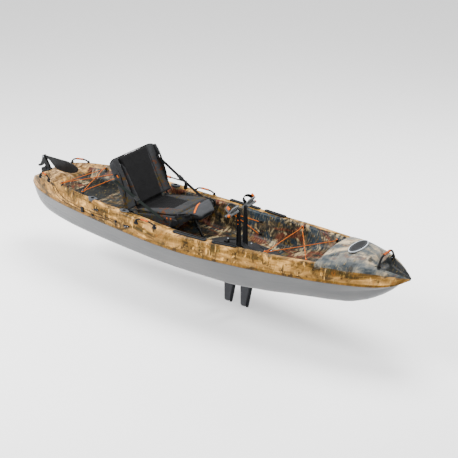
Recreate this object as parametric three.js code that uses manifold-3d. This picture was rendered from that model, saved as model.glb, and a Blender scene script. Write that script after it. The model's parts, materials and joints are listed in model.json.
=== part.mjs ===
// Pedal-drive sit-on-top fishing kayak, as an assembly of separate solids.
// Millimetres. +X to the bow, +Y to port, +Z up. The origin lies on the flat of the hull's bottom,
// on the centreline, amidships.
import * as THREE from 'three';
import { mergeVertices } from 'three/addons/utils/BufferGeometryUtils.js';
import Module from 'manifold-3d';

const wasm = await Module();
wasm.setup();

// ---------------------------------------------------------------- driving dimensions
const GAP = 0.4;                    // clearance between touching pieces
const SKIN = { hull: 6, deck: 5 };  // wall thickness of the two moulded shells

// Deck stations. x, half beam at the seam, seam height, shoulder height, lip (inner edge of the
// gunwale) y and z, floor edge y and z, floor height on the centreline.
const DECK_STATIONS = [
  [-1815, 112, 226, 280, 84, 279, 58, 279, 279],
  [-1760, 150, 224, 312, 112, 309, 78, 309, 310],
  [-1680, 196, 222, 345, 150, 338, 104, 336, 337],
  [-1570, 240, 221, 371, 186, 347, 132, 342, 344],
  [-1440, 278, 219, 389, 214, 344, 156, 336, 339],
  [-1390, 291, 219, 394, 228, 340, 182, 270, 268],
  [-1200, 331, 218, 401, 268, 338, 218, 258, 256],
  [-975, 363, 214, 396, 296, 340, 240, 256, 254],
  [-780, 383, 207, 383, 302, 345, 246, 256, 254],
  [-690, 391, 204, 375, 304, 343, 250, 214, 210],
  [-480, 406, 197, 359, 306, 342, 256, 192, 188],
  [-150, 425, 187, 340, 322, 333, 266, 152, 148],
  [60, 430, 186, 337, 336, 332, 270, 119, 118],
  [690, 388, 205, 351, 314, 342, 256, 118, 118],
  [850, 372, 214, 359, 300, 350, 244, 152, 148],
  [1000, 354, 223, 366, 284, 356, 226, 214, 208],
  [1180, 329, 233, 374, 258, 366, 198, 250, 246],
  [1288, 311, 239, 379, 243, 372, 184, 262, 258],
  [1314, 306, 240, 381, 232, 398, 122, 424, 430],
  [1420, 284, 246, 386, 212, 420, 112, 451, 458],
  [1530, 254, 251, 389, 182, 427, 98, 459, 466],
  [1650, 216, 257, 390, 136, 421, 82, 446, 452],
  [1700, 196, 260, 387, 122, 411, 74, 400, 400],
  [1760, 168, 264, 379, 104, 399, 62, 356, 354],
  [1850, 112, 276, 359, 66, 372, 38, 340, 338],
  [1910, 62, 296, 342, 33, 347, 17, 333, 332],
  [1950, 16, 317, 328, 9, 329, 5, 326, 326],
];

// Hull stations. x, bottom height, chine height, chine y as a share of the half beam, and the half
// width of the flat bottom.
const HULL_STATIONS = [
  [-1815, 180, 192, 0.90, 40],
  [-1733, 96, 142, 0.92, 58],
  [-1640, 24, 112, 0.93, 70],
  [-1540, 0, 96, 0.93, 100],
  [-1400, 0, 84, 0.93, 140],
  [-1100, 0, 74, 0.94, 205],
  [-700, 0, 66, 0.95, 262],
  [0, 0, 60, 0.96, 330],
  [500, 0, 66, 0.96, 328],
  [850, 0, 90, 0.95, 240],
  [1100, 0, 122, 0.93, 120],
  [1300, 0, 150, 0.90, 45],
  [1480, 12, 172, 0.84, 14],
  [1630, 66, 198, 0.76, 9],
  [1737, 132, 220, 0.68, 6],
  [1813, 194, 244, 0.60, 5],
  [1885, 268, 279, 0.50, 4],
  [1950, 309, 312, 0.50, 3],
];
const LOFT_X = [
  -1815, -1760, -1680, -1570, -1440, -1415, -1390, -1200, -975, -780, -735, -690, -480, -310, -150,
  -40, 60, 250, 440, 690, 770, 850, 1000, 1180, 1288, 1301, 1314, 1420, 1530, 1650, 1675, 1700,
  1730, 1760, 1805, 1850, 1880, 1910, 1930, 1950,
];
const NOSE_X = 1850;                // forward of this the deck's bow is solid
const TRANSOM_X = -1760;            // aft of this the hull's inside is closed
const TUMBLE = 18;                  // how far the shoulder stands in from the seam
const FILLET = { shoulder: 30, lip: 16, floor: 44 };
const FILLET_STEPS = [0, 2, 1, 2];

const WELL = { x0: 250, x1: 610, halfWidth: 38, wall: 6 };      // slot that the drive stands in
const PLATE = { x0: 100, x1: 790, halfWidth: 186, thickness: 8, z: 119 };
const DRIVE = { x: 440, pivotZ: 165, halfWidth: 29, armY: 46, armThickness: 20, spindleZ: 497 };
const FIN = { hingeZ: -22, tipZ: -390, rootZ: -42, thickness: 9, edge: 26 };
const REAR_FIN_X = 262;             // trailing edges of the two fins
const FRONT_FIN_X = 427;
const SEAT = { x: -521, z: 311, tilt: 9.7, lean: 26, length: 470 };
const BACK_HINGE = { x: -530, z: 292 };
const LEG = { x: -76, z: 318, footX: 40, footZ: 124 };
const RUDDER = { steerX: -1745, liftX: -1764, liftZ: 453, thickness: 8 };
const CORD = { bungee: 3, line: 2.2 };                          // cord radii
const LINE_CLIP = { x: -967, y: 371, heights: [272, 248] };

// ---------------------------------------------------------------- materials
const paint = (color, roughness = 0.6, metalness = 0) =>
  new THREE.MeshStandardMaterial({ color, roughness, metalness });
const FINISH = {
  hull: paint(0xb4b4b2, 0.42),
  deck: paint(0xb0824c, 0.5),
  black: paint(0x17181a, 0.5),
  plate: paint(0x3a3b3c, 0.6),
  alloy: paint(0x1d1f21, 0.35, 0.6),
  tread: paint(0x9a9c9c, 0.45),
  fin: paint(0x505354, 0.4),
  fabric: paint(0x3c3c3d, 0.9),
  nose: paint(0x747474, 0.85),
  webbing: paint(0x0e0f10, 0.85),
  bungee: paint(0xe8701c, 0.7),
};

// ---------------------------------------------------------------- helpers
const kayak = new THREE.Group();

/** Turns a closed three.js geometry into a solid that can be cut and joined. */
function solid(geometry) {
  const bare = geometry.clone();
  bare.deleteAttribute('normal');
  bare.deleteAttribute('uv');
  const merged = mergeVertices(bare, 1e-4);
  return new wasm.Manifold(new wasm.Mesh({
    numProp: 3,
    vertProperties: new Float32Array(merged.attributes.position.array),
    triVerts: new Uint32Array(merged.index.array),
  }));
}

/** Turns a solid back into a three.js geometry. */
function geometryOf(body) {
  const mesh = body.getMesh();
  const geometry = new THREE.BufferGeometry();
  geometry.setAttribute('position', new THREE.BufferAttribute(new Float32Array(mesh.vertProperties), 3));
  geometry.setIndex(new THREE.BufferAttribute(new Uint32Array(mesh.triVerts), 1));
  geometry.computeVertexNormals();
  return geometry;
}

/** Adds one named piece to a group. The shape is a solid or a geometry. */
function add(name, shape, material, parent = kayak) {
  const geometry = shape.isBufferGeometry ? shape : geometryOf(shape);
  const mesh = new THREE.Mesh(geometry, material);
  mesh.name = name;
  parent.add(mesh);
  return mesh;
}

/** Moves and turns a solid. Angles are in degrees, about X, then Y, then Z. */
function placed(body, position = [0, 0, 0], degrees = [0, 0, 0]) {
  const turn = new THREE.Euler(...degrees.map(THREE.MathUtils.degToRad), 'XYZ');
  const matrix = new THREE.Matrix4().makeRotationFromEuler(turn).setPosition(...position);
  return body.transform(matrix.elements);
}

const join = (...bodies) => bodies.reduce((sum, body) => sum.add(body));

/** A box between two opposite corners. */
function block(low, high) {
  const size = high.map((value, i) => value - low[i]);
  const centre = high.map((value, i) => (value + low[i]) / 2);
  return placed(solid(new THREE.BoxGeometry(...size)), centre);
}

/** A round bar between two points. */
function rod(from, to, radius, sides = 12) {
  const a = new THREE.Vector3(...from);
  const b = new THREE.Vector3(...to);
  const along = b.clone().sub(a);
  const geometry = new THREE.CylinderGeometry(radius, radius, along.length(), sides);
  const turn = new THREE.Quaternion().setFromUnitVectors(new THREE.Vector3(0, 1, 0), along.normalize());
  geometry.applyQuaternion(turn);
  geometry.translate(...a.add(b).multiplyScalar(0.5).toArray());
  return solid(geometry);
}

/** A round bar through a chain of points, bent to an arc at each inner point. */
function bentRod(points, radius, bend = 20, sides = 8) {
  const chain = points.map((point) => new THREE.Vector3(...point));
  const route = chain.flatMap((corner, i) => {
    if (i === 0 || i === chain.length - 1) return [corner];
    const before = chain[i - 1].clone().sub(corner);
    const after = chain[i + 1].clone().sub(corner);
    const reach = Math.min(bend, before.length() * 0.45, after.length() * 0.45);
    return new THREE.QuadraticBezierCurve3(
      corner.clone().addScaledVector(before.normalize(), reach), corner,
      corner.clone().addScaledVector(after.normalize(), reach)).getPoints(2);
  });
  return solid(tubeAlong(route, radius, 1, sides));
}

/** A flat plate from an outline of [a, b] points, thick along the third axis.
 *  plane 'xy' is thick along Z, and 'xz' along Y, centred on y = 0. */
function platePiece(outline, thickness, plane = 'xz', bevel = 0) {
  const shape = new THREE.Shape(outline.map(([a, b]) => new THREE.Vector2(a, b)));
  const geometry = new THREE.ExtrudeGeometry(shape, {
    depth: thickness - 2 * bevel,
    bevelEnabled: bevel > 0,
    bevelSize: bevel,
    bevelOffset: -bevel,
    bevelThickness: bevel,
    bevelSegments: 1,
    curveSegments: 6,
  });
  geometry.translate(0, 0, bevel - (plane === 'xz' ? thickness / 2 : 0));
  if (plane === 'xz') geometry.rotateX(Math.PI / 2);
  return solid(geometry);
}

/** Rounds the corners of an outline: each [a, b, radius] corner becomes a short arc. */
function rounded(corners, steps = 4) {
  return corners.flatMap(([a, b, radius = 0], i) => {
    if (!radius) return [[a, b]];
    const corner = new THREE.Vector2(a, b);
    const before = new THREE.Vector2(...corners.at(i - 1).slice(0, 2)).sub(corner);
    const after = new THREE.Vector2(...corners[(i + 1) % corners.length].slice(0, 2)).sub(corner);
    const reach = Math.min(radius, before.length() * 0.48, after.length() * 0.48);
    const curve = new THREE.QuadraticBezierCurve(
      corner.clone().addScaledVector(before.normalize(), reach), corner,
      corner.clone().addScaledVector(after.normalize(), reach));
    return curve.getPoints(steps).map((point) => [point.x, point.y]);
  });
}

/** Reads column `column` of a station table at x, on a smooth curve with no overshoot. */
function fair(stations, column, x) {
  const last = stations.length - 1;
  const at = THREE.MathUtils.clamp(x, stations[0][0], stations[last][0]);
  const i = Math.min(last - 1, Math.max(0, stations.findIndex((row) => row[0] > at) - 1));
  const k = at >= stations[last][0] ? last - 1 : i;
  const rise = (j) => (stations[j + 1][column] - stations[j][column]) / (stations[j + 1][0] - stations[j][0]);
  const slope = (j) => {
    if (j === 0) return rise(0);
    if (j === last) return rise(last - 1);
    const [a, b] = [rise(j - 1), rise(j)];
    return a * b <= 0 ? 0 : (2 * a * b) / (a + b);
  };
  const width = stations[k + 1][0] - stations[k][0];
  const t = (at - stations[k][0]) / width;
  const [t2, t3] = [t * t, t * t * t];
  return (2 * t3 - 3 * t2 + 1) * stations[k][column] + (t3 - 2 * t2 + t) * width * slope(k)
    + (3 * t2 - 2 * t3) * stations[k + 1][column] + (t3 - t2) * width * slope(k + 1);
}

/** Half of the deck's cross-section at x, as [y, z] points from the seam to the centreline. */
function deckHalf(x) {
  const [beam, seam, shoulder, lipY, lipZ, floorY, floorZ, crown] =
    [1, 2, 3, 4, 5, 6, 7, 8].map((column) => fair(DECK_STATIONS, column, x));
  const tumble = Math.min(TUMBLE, beam * 0.25);
  const corners = [
    [beam, seam + GAP],
    [beam - tumble, shoulder, FILLET.shoulder],
    [lipY, lipZ, FILLET.lip],
    [floorY, floorZ, FILLET.floor],
    [0, crown],
  ];
  const points = [corners[0], [beam - 1, seam + (shoulder - seam) * 0.45]];
  for (let i = 1; i < 4; i += 1) {
    const [y, z, radius] = corners[i];
    const corner = new THREE.Vector2(y, z);
    const before = new THREE.Vector2(...corners[i - 1].slice(0, 2)).sub(corner);
    const after = new THREE.Vector2(...corners[i + 1].slice(0, 2)).sub(corner);
    const reach = Math.min(radius, before.length() * 0.4, after.length() * 0.4);
    const curve = new THREE.QuadraticBezierCurve(
      corner.clone().addScaledVector(before.normalize(), reach), corner,
      corner.clone().addScaledVector(after.normalize(), reach));
    points.push(...curve.getPoints(FILLET_STEPS[i]).map((point) => [point.x, point.y]));
  }
  points.push([floorY * 0.5, (floorZ + crown) / 2], [0, crown]);
  return points;
}

/** The hull's half section at x, from the seam down to the keel line. */
function hullHalf(x) {
  const beam = fair(DECK_STATIONS, 1, x);
  const seam = fair(DECK_STATIONS, 2, x) - GAP;
  const [bottom, chineZ, share, flat] = [1, 2, 3, 4].map((column) => fair(HULL_STATIONS, column, x));
  const chineY = beam * share;
  const bilge = new THREE.QuadraticBezierCurve(
    new THREE.Vector2(chineY, chineZ),
    new THREE.Vector2(flat + (chineY - flat) * 0.8, bottom + (chineZ - bottom) * 0.14),
    new THREE.Vector2(flat, bottom));
  return [
    [beam, seam],
    [beam - (beam - chineY) * 0.42, (seam + chineZ) / 2],
    ...bilge.getPoints(4).map((point) => [point.x, point.y]),
    [0, bottom],
  ];
}

/** Both halves of a section, from the port seam to the starboard seam. */
const wholeSection = (half) => [...half, ...half.slice(0, -1).reverse().map(([y, z]) => [-y, z])];

/** The same line moved `distance` to its inner side. */
function inset(line, distance) {
  return line.map(([y, z], i) => {
    const [y0, z0] = line[Math.max(0, i - 1)];
    const [y1, z1] = line[Math.min(line.length - 1, i + 1)];
    const end = i === 0 || i === line.length - 1;
    const normal = end ? new THREE.Vector2(-Math.sign(y), 0) : new THREE.Vector2(z0 - z1, y1 - y0);
    normal.normalize().multiplyScalar(distance);
    return [y + normal.x, z + normal.y];
  });
}

/** Skins a run of closed rings of [y, z] points, one at each x, into one capped solid. */
function loft(xs, ringAt) {
  const rings = xs.map(ringAt);
  const count = rings[0].length;
  const positions = rings.flatMap((ring, i) => ring.flatMap(([y, z]) => [xs[i], y, z]));
  const index = [];
  for (let i = 0; i < rings.length - 1; i += 1) {
    for (let j = 0; j < count; j += 1) {
      const [a, b] = [i * count + j, i * count + ((j + 1) % count)];
      index.push(a, b, a + count, b, b + count, a + count);
    }
  }
  [[0, true], [rings.length - 1, false]].forEach(([i, flip]) => {
    const contour = rings[i].map(([y, z]) => new THREE.Vector2(y, z));
    const clockwise = THREE.ShapeUtils.isClockWise(contour);
    THREE.ShapeUtils.triangulateShape(contour, []).forEach(([a, b, c]) => {
      const order = flip !== clockwise ? [a, c, b] : [a, b, c];
      index.push(...order.map((k) => i * count + k));
    });
  });
  const geometry = new THREE.BufferGeometry();
  geometry.setAttribute('position', new THREE.Float32BufferAttribute(positions, 3));
  geometry.setIndex(index);
  const contour = rings[1].map(([y, z]) => new THREE.Vector2(y, z));
  if (THREE.ShapeUtils.isClockWise(contour)) geometry.index.array.reverse();
  return solid(geometry);
}

/** Height of the deck's top at (x, y), inboard of the shoulder. */
function deckZ(x, y) {
  const half = deckHalf(x);
  const i = half.findIndex(([py]) => py <= Math.abs(y));
  const [[y0, z0], [y1, z1]] = [half[Math.max(0, i - 1)], half[i]];
  return y0 === y1 ? z1 : z1 + ((z0 - z1) * (Math.abs(y) - y1)) / (y0 - y1);
}

/** How far out the deck's side stands at x and height z. */
function sideY(x, z) {
  const half = deckHalf(x).slice(0, 4);
  const i = Math.max(1, half.findIndex(([, pz]) => pz >= z));
  const [[y0, z0], [y1, z1]] = [half[i - 1], half[i]];
  return y0 + ((y1 - y0) * (z - z0)) / (z1 - z0);
}

/** A route whose steps are shared out evenly between its points, not along its length. */
class Route extends THREE.CatmullRomCurve3 {
  getUtoTmapping(u) {
    return u;
  }
}

/** A round tube along a list of points. */
function tubeAlong(route, radius, stepsEach = 1, sides = 8) {
  const outline = new THREE.Shape();
  outline.absarc(0, 0, radius, 0, 2 * Math.PI);
  return new THREE.ExtrudeGeometry(outline, {
    steps: (route.length - 1) * stepsEach,
    curveSegments: sides / 2,
    extrudePath: new Route(route, false, 'centripetal'),
  });
}

const SIDES = [['left', 1], ['right', -1]];
const mirrorY = (body) => body.mirror([0, 1, 0]);
const onSide = (body, side) => (side > 0 ? body : mirrorY(body));

// ---------------------------------------------------------------- shells
const shellRing = (x) => {
  const top = wholeSection(deckHalf(x));
  return [...top, ...inset(top, SKIN.deck).reverse()];
};
const solidRing = (x) => wholeSection(deckHalf(x));

/** Everything from the deck's top down to `depth` below it, the cutter that shapes every foot. */
function deckBlock(x0, x1, lift, depth) {
  // it starts and ends on the deck's own stations, so that its faces match the deck's
  const first = LOFT_X.findLastIndex((x) => x <= x0);
  const last = LOFT_X.findIndex((x) => x >= x1);
  const xs = LOFT_X.slice(first, last + 1);
  return loft(xs, (x) => {
    const top = wholeSection(deckHalf(x));
    const raised = top.map(([y, z]) => [y, z + lift]);
    return [...raised, ...top.map(([y, z]) => [y * 0.998, z - depth]).reverse()];
  });
}

/** Cuts a fitting to stand on the deck, whatever the deck's shape is under it. */
function seated(body) {
  const { min, max } = body.boundingBox();
  const cutter = deckBlock(Math.max(-1814, min[0] - 30), Math.min(1949, max[0] + 30), GAP, 90);
  return body.subtract(cutter);
}

const ROD_HOLDERS = [['rear', -871, 335], ['front', -516, 342]];
const HOLDER = { radius: 20, wall: 2.5, depth: 150 };
const holderAxis = (x, y) => ({ x, y, z: deckZ(x, y) });

function makeDeck() {
  const shellX = LOFT_X.filter((x) => x <= NOSE_X);
  const noseX = LOFT_X.filter((x) => x >= NOSE_X);
  let deck = loft(shellX, shellRing).add(loft(noseX, solidRing));
  deck = deck.add(loft([-1815, -1810], solidRing));
  const slot = block([WELL.x0, -WELL.halfWidth, 60], [WELL.x1, WELL.halfWidth, 200]);
  deck = deck.subtract(slot);
  ROD_HOLDERS.forEach(([, x, y]) => SIDES.forEach(([, side]) => {
    const seat = holderAxis(x, y * side);
    deck = deck.subtract(rod([seat.x, seat.y, seat.z - 40], [seat.x, seat.y, seat.z + 60],
      HOLDER.radius + 1, 16));
  }));
  SIDES.forEach(([, side]) => {
    deck = scooped(deck, side);
  });
  return deck;
}

/** The finger scoop under a side handle: a shallow cup pressed into the shoulder. */
function scooped(deck, side) {
  const cup = (grow) => {
    const geometry = new THREE.SphereGeometry(1, 12, 8);
    geometry.scale(92 + grow, 44 + grow, 34 + grow);
    geometry.translate(-250, 432 * side, 326);
    return solid(geometry);
  };
  const under = deckBlock(-400, -100, 0, 60).intersect(cup(SKIN.deck)).subtract(cup(0));
  return deck.subtract(cup(0)).add(under);
}

function makeHull() {
  const outer = loft(LOFT_X, (x) => wholeSection(hullHalf(x)));
  const inner = loft(LOFT_X.filter((x) => x >= TRANSOM_X && x <= 1805), (x) => {
    const line = inset(wholeSection(hullHalf(x)), -SKIN.hull);
    const first = line[0];
    const last = line[line.length - 1];
    return [[first[0], first[1] + 60], ...line, [last[0], last[1] + 60]];
  });
  const slot = block([WELL.x0, -WELL.halfWidth, -20], [WELL.x1, WELL.halfWidth, 20]);
  return outer.subtract(inner).subtract(slot);
}

function makeDriveWell() {
  const { x0, x1, halfWidth, wall } = WELL;
  const [low, high] = [SKIN.hull + GAP, 118 - SKIN.deck - GAP];
  const outside = block([x0 - wall, -halfWidth - wall, low], [x1 + wall, halfWidth + wall, high]);
  return outside.subtract(block([x0, -halfWidth, low - 5], [x1, halfWidth, high + 5]));
}

// ---------------------------------------------------------------- deck fittings
/** A gear track: a C-shaped rail with a slot along its top and round ends. */
function gearTrack(length) {
  const half = length / 2;
  const outline = rounded([[-half, -16, 15], [half, -16, 15], [half, 16, 15], [-half, 16, 15]], 3);
  const rail = platePiece(outline, 15, 'xy', 2);
  const mouth = block([-half + 18, -4.5, 8], [half - 18, 4.5, 20]);
  const channel = block([-half + 18, -8.5, 4], [half - 18, 8.5, 10]);
  return rail.subtract(mouth).subtract(channel);
}

const TRACKS = [['rear', 40, 363, 384], ['front', 411, 636, 360]];

function addTracks() {
  TRACKS.forEach(([place, x0, x1, y]) => SIDES.forEach(([name, side]) => {
    const [xa, xb] = [x0 + 10, x1 - 10];
    const [za, zb] = [deckZ(xa, y), deckZ(xb, y)];
    const pitch = THREE.MathUtils.radToDeg(Math.atan2(zb - za, xb - xa));
    const toe = place === 'rear' ? -3 : -6;
    const rail = placed(gearTrack(x1 - x0), [(x0 + x1) / 2, y * side, (za + zb) / 2 - 3],
      [0, -pitch, toe * side]);
    add(`gear_track_${place}_${name}`, seated(rail), FINISH.black);
  }));
}

/** A flush rod holder: an eye-shaped flange on a closed-ended tube. */
function addRodHolders() {
  const outline = rounded([[-60, 0, 26], [-24, -27, 24], [24, -27, 24], [60, 0, 26], [24, 27, 24],
    [-24, 27, 24]], 3);
  const { radius, wall, depth } = HOLDER;
  ROD_HOLDERS.forEach(([place, x, y]) => SIDES.forEach(([name, side]) => {
    const { z } = holderAxis(x, y * side);
    const flange = seated(placed(platePiece(outline, 26, 'xy', 2), [x, y * side, z - 17]));
    const tube = rod([x, y * side, z - depth], [x, y * side, z + 6], radius, 16);
    const bore = rod([x, y * side, z - depth + wall], [x, y * side, z + 30], radius - wall, 16);
    add(`rod_holder_${place}_${name}`, flange.add(tube).subtract(bore), FINISH.black);
  }));
}

/** A carry handle: a bar bent over two feet, which stand on the deck. */
function carryHandle(ends, rise, radius, lean = 0) {
  const [[xa, ya], [xb, yb]] = ends;
  const [za, zb] = [deckZ(xa, ya), deckZ(xb, yb)];
  const top = Math.max(za, zb) + rise;
  const at = (t, z) => [xa + (xb - xa) * t, ya + (yb - ya) * t + lean * (z > za + 5 ? 1 : 0), z];
  const bar = bentRod([at(0, za - 8), at(0.02, top - rise * 0.45), at(0.2, top), at(0.8, top),
    at(0.98, top - rise * 0.45), at(1, zb - 8)], radius, 20, 6);
  const foot = (x, y, z) => {
    const pad = platePiece(rounded([[-19, -12, 9], [19, -12, 9], [19, 12, 9], [-19, 12, 9]], 2), 18, 'xy', 1);
    return placed(pad, [x, y, z - 12]);
  };
  return seated(join(bar, foot(xa, ya, za), foot(xb, yb, zb)));
}

function addHandles() {
  SIDES.forEach(([name, side]) => {
    add(`side_handle_${name}`, carryHandle([[-338, 402 * side], [-140, 406 * side]], 36, 7, 4 * side),
      FINISH.black);
    add(`stern_handle_${name}`, carryHandle([[-1618, 205 * side], [-1462, 256 * side]], 36, 7),
      FINISH.black);
  });
  add('bow_handle', carryHandle([[1745, -110], [1745, 110]], 78, 8), FINISH.black);
}

// ---------------------------------------------------------------- pedal drive
function addDrivePlate() {
  const { x0, x1, halfWidth, thickness, z } = PLATE;
  const outline = rounded([
    [x0, 60, 60], [x0 + 90, 150, 80], [x0 + 330, halfWidth, 120], [x1 - 130, halfWidth * 0.84, 90],
    [x1, 96, 60], [x1, -96, 60], [x1 - 130, -halfWidth * 0.84, 90], [x0 + 330, -halfWidth, 120],
    [x0 + 90, -150, 80], [x0, -60, 60],
  ], 4);
  const plate = placed(platePiece(outline, thickness, 'xy', 1.5), [0, 0, z]);
  const slot = block([WELL.x0 + 6, -DRIVE.halfWidth - 2, z - 10], [WELL.x1 - 6, DRIVE.halfWidth + 2, z + 30]);
  add('drive_plate', seated(plate).subtract(slot), FINISH.plate);
}

/** Hinge ears and pins under the drive that carry a fin, for a fin whose root starts at x. */
function finCarrier(x) {
  const ear = (at) => join(block([at, -9, FIN.hingeZ], [at + 9, 9, 4]), rod([at, 0, FIN.hingeZ],
    [at + 9, 0, FIN.hingeZ], 9));
  return join(ear(x + 2), ear(x + 138), rod([x + 5, 0, FIN.hingeZ], [x + 144, 0, FIN.hingeZ], 4));
}

function addDriveHousing() {
  const { x, pivotZ, halfWidth } = DRIVE;
  const side = rounded([
    [258, -6], [602, -6], [602, 96, 10], [596, 140, 22], [520, 152, 30], [x + 44, pivotZ + 8, 22],
    [x, pivotZ + 26, 24], [x - 44, pivotZ + 8, 22], [350, 148, 30], [264, 140, 22], [258, 96, 10],
  ], 3);
  let body = platePiece(side, halfWidth * 2, 'xz', 2);
  const saddle = block([300, -halfWidth - 30, 128], [580, halfWidth + 30, 138]);
  body = join(body, saddle, finCarrier(REAR_FIN_X), finCarrier(FRONT_FIN_X));
  const bore = rod([x, -60, pivotZ], [x, 60, pivotZ], 9 + GAP, 16);
  add('drive_housing', body.subtract(bore), FINISH.black);
  add('drive_cross_shaft', rod([x, -62, pivotZ], [x, 62, pivotZ], 9, 16), FINISH.alloy);
}

/** The lever that locks the drive down on its plate. */
function addDriveClamps() {
  [['rear', 268, -1], ['front', 622, 1]].forEach(([name, x, way]) => {
    const base = block([Math.min(x, x + 34 * way), 34, 128], [Math.max(x, x + 34 * way), 66, 146]);
    const arm = bentRod([[x + 17 * way, 50, 140], [x - 6 * way, 66, 158], [x - 52 * way, 82, 160]], 6, 8);
    const clamp = base.add(arm).subtract(block([200, -60, 90], [700, 100, 127.5]));
    add(`drive_clamp_${name}`, clamp, FINISH.black);
  });
}

const TREAD = { y0: 62, y1: 170, tilt: 34 };

/** A pedal: the arm with its spindle, the tread that turns on it and the strap over the foot. */
function addPedal(name, side) {
  const { x, pivotZ, armY, armThickness, spindleZ } = DRIVE;
  const outline = rounded([
    [-22, -22, 20], [22, -22, 20], [21, 40, 10], [13, spindleZ - pivotZ - 10, 14],
    [12, spindleZ - pivotZ + 17, 11], [-12, spindleZ - pivotZ + 17, 11],
    [-13, spindleZ - pivotZ - 10, 14], [-21, 40, 10],
  ], 3);
  const pocket = rounded([[-8, 50, 6], [8, 50, 6], [6, 290, 6], [-6, 290, 6]], 2);
  let arm = platePiece(outline, armThickness, 'xz', 2);
  arm = arm.subtract(placed(platePiece(pocket, 8), [0, armThickness / 2, 0]));
  arm = placed(arm, [x, armY, pivotZ]).subtract(rod([x, 0, pivotZ], [x, 90, pivotZ], 9.6, 16));
  arm = arm.add(rod([x, armY, spindleZ], [x, TREAD.y1 + 8, spindleZ], 7, 12));
  add(`pedal_arm_${name}`, onSide(arm, side), FINISH.black);

  const middle = (TREAD.y0 + TREAD.y1) / 2;
  const width = TREAD.y1 - TREAD.y0;
  const face = rounded([[-46, -width / 2, 16], [62, -width / 2 + 6, 22], [62, width / 2 - 6, 22],
    [-46, width / 2, 16]], 3);
  const plate = placed(platePiece(face, 10, 'xy', 2), [0, 0, 12]);
  const heel = block([-46, -width / 2 + 4, 14], [-38, width / 2 - 4, 34]);
  const hub = rod([0, -width / 2, 0], [0, width / 2, 0], 14, 14);
  const tread = join(plate, heel, hub).subtract(rod([0, -90, 0], [0, 90, 0], 7.5, 14));
  // the tread's foot side looks aft, its toe end is up
  const pose = (body) => placed(body, [x, middle, spindleZ], [0, -(90 - TREAD.tilt), 0]);
  add(`pedal_tread_${name}`, onSide(pose(tread), side), FINISH.tread);

  add(`pedal_strap_${name}`, onSide(pose(footStrap(width)), side), FINISH.black);
}

/** The arched strap over the foot, standing on the tread's two edges. */
function footStrap(width) {
  const arch = new THREE.Shape();
  const radius = width / 2 - 1;
  arch.moveTo(radius, 24);
  arch.lineTo(radius, 40);
  arch.absellipse(0, 40, radius, 42, 0, Math.PI, false);
  arch.lineTo(-radius, 24);
  arch.lineTo(-radius + 5, 24);
  arch.lineTo(-radius + 5, 40);
  arch.absellipse(0, 40, radius - 5, 37, Math.PI, 0, true);
  arch.lineTo(radius - 5, 24);
  const band = new THREE.ExtrudeGeometry(arch, { depth: 30, bevelEnabled: false, curveSegments: 8 });
  // the arch's width runs along Y and its height along Z
  band.rotateX(Math.PI / 2);
  band.rotateZ(Math.PI / 2);
  return placed(solid(band), [4, 0, -1.6]);
}

/** A fin: a stiff leading edge that turns on the drive, and a flexible blade behind it. */
function addFin(name, x) {
  const { hingeZ, tipZ, rootZ, thickness, edge } = FIN;
  const leadTop = [x + 150, rootZ];
  const leadLow = [x + 80, tipZ + 8];
  const inTop = [leadTop[0] - edge, rootZ];
  const inLow = [leadLow[0] - edge * 0.9, tipZ + 8];
  const mastOutline = rounded([leadTop, [leadLow[0], leadLow[1], 22], inLow, inTop], 4);
  let mast = platePiece(mastOutline, thickness + 5, 'xz', 3);
  const hub = rod([x + 12, 0, hingeZ], [x + 137, 0, hingeZ], 9, 14);
  mast = join(mast, hub, block([x + 96, -7, rootZ - 4], [x + 136, 7, hingeZ]));
  add(`fin_mast_${name}`, mast.subtract(rod([x, 0, hingeZ], [x + 150, 0, hingeZ], 4.5, 12)), FINISH.black);
  const blade = rounded([
    [x, rootZ - 6, 8], [inTop[0] - 2, rootZ - 6], [inLow[0] - 2, tipZ + 10, 10], [x + 2, tipZ + 4, 34],
  ], 4);
  add(`fin_blade_${name}`, platePiece(blade, thickness, 'xz', 2), FINISH.fin);
}

// ---------------------------------------------------------------- seat
/** Where a point of the tilted seat base, forward `u`, across `y` and up `w`, is in the kayak. */
function onBase(u, y, w) {
  const tilt = THREE.MathUtils.degToRad(SEAT.tilt);
  return [SEAT.x + u * Math.cos(tilt) - w * Math.sin(tilt), y,
    SEAT.z + u * Math.sin(tilt) + w * Math.cos(tilt)];
}

/** The same for the leaning back: `v` up the back, and `w` forward of it. */
function onBack(v, y, w) {
  const lean = THREE.MathUtils.degToRad(SEAT.lean);
  return [SEAT.x - v * Math.sin(lean) + w * Math.cos(lean), y,
    SEAT.z + v * Math.cos(lean) + w * Math.sin(lean)];
}
const onBaseFrame = (body) => placed(body, [SEAT.x, 0, SEAT.z], [0, -SEAT.tilt, 0]);
const onBackFrame = (body) => placed(body, [SEAT.x, 0, SEAT.z], [0, -SEAT.lean, 0]);

const SEAT_PLAN = [[14, 205, 20], [395, 232, 40], [474, 214, 30], [620, 92, 24]];

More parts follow.
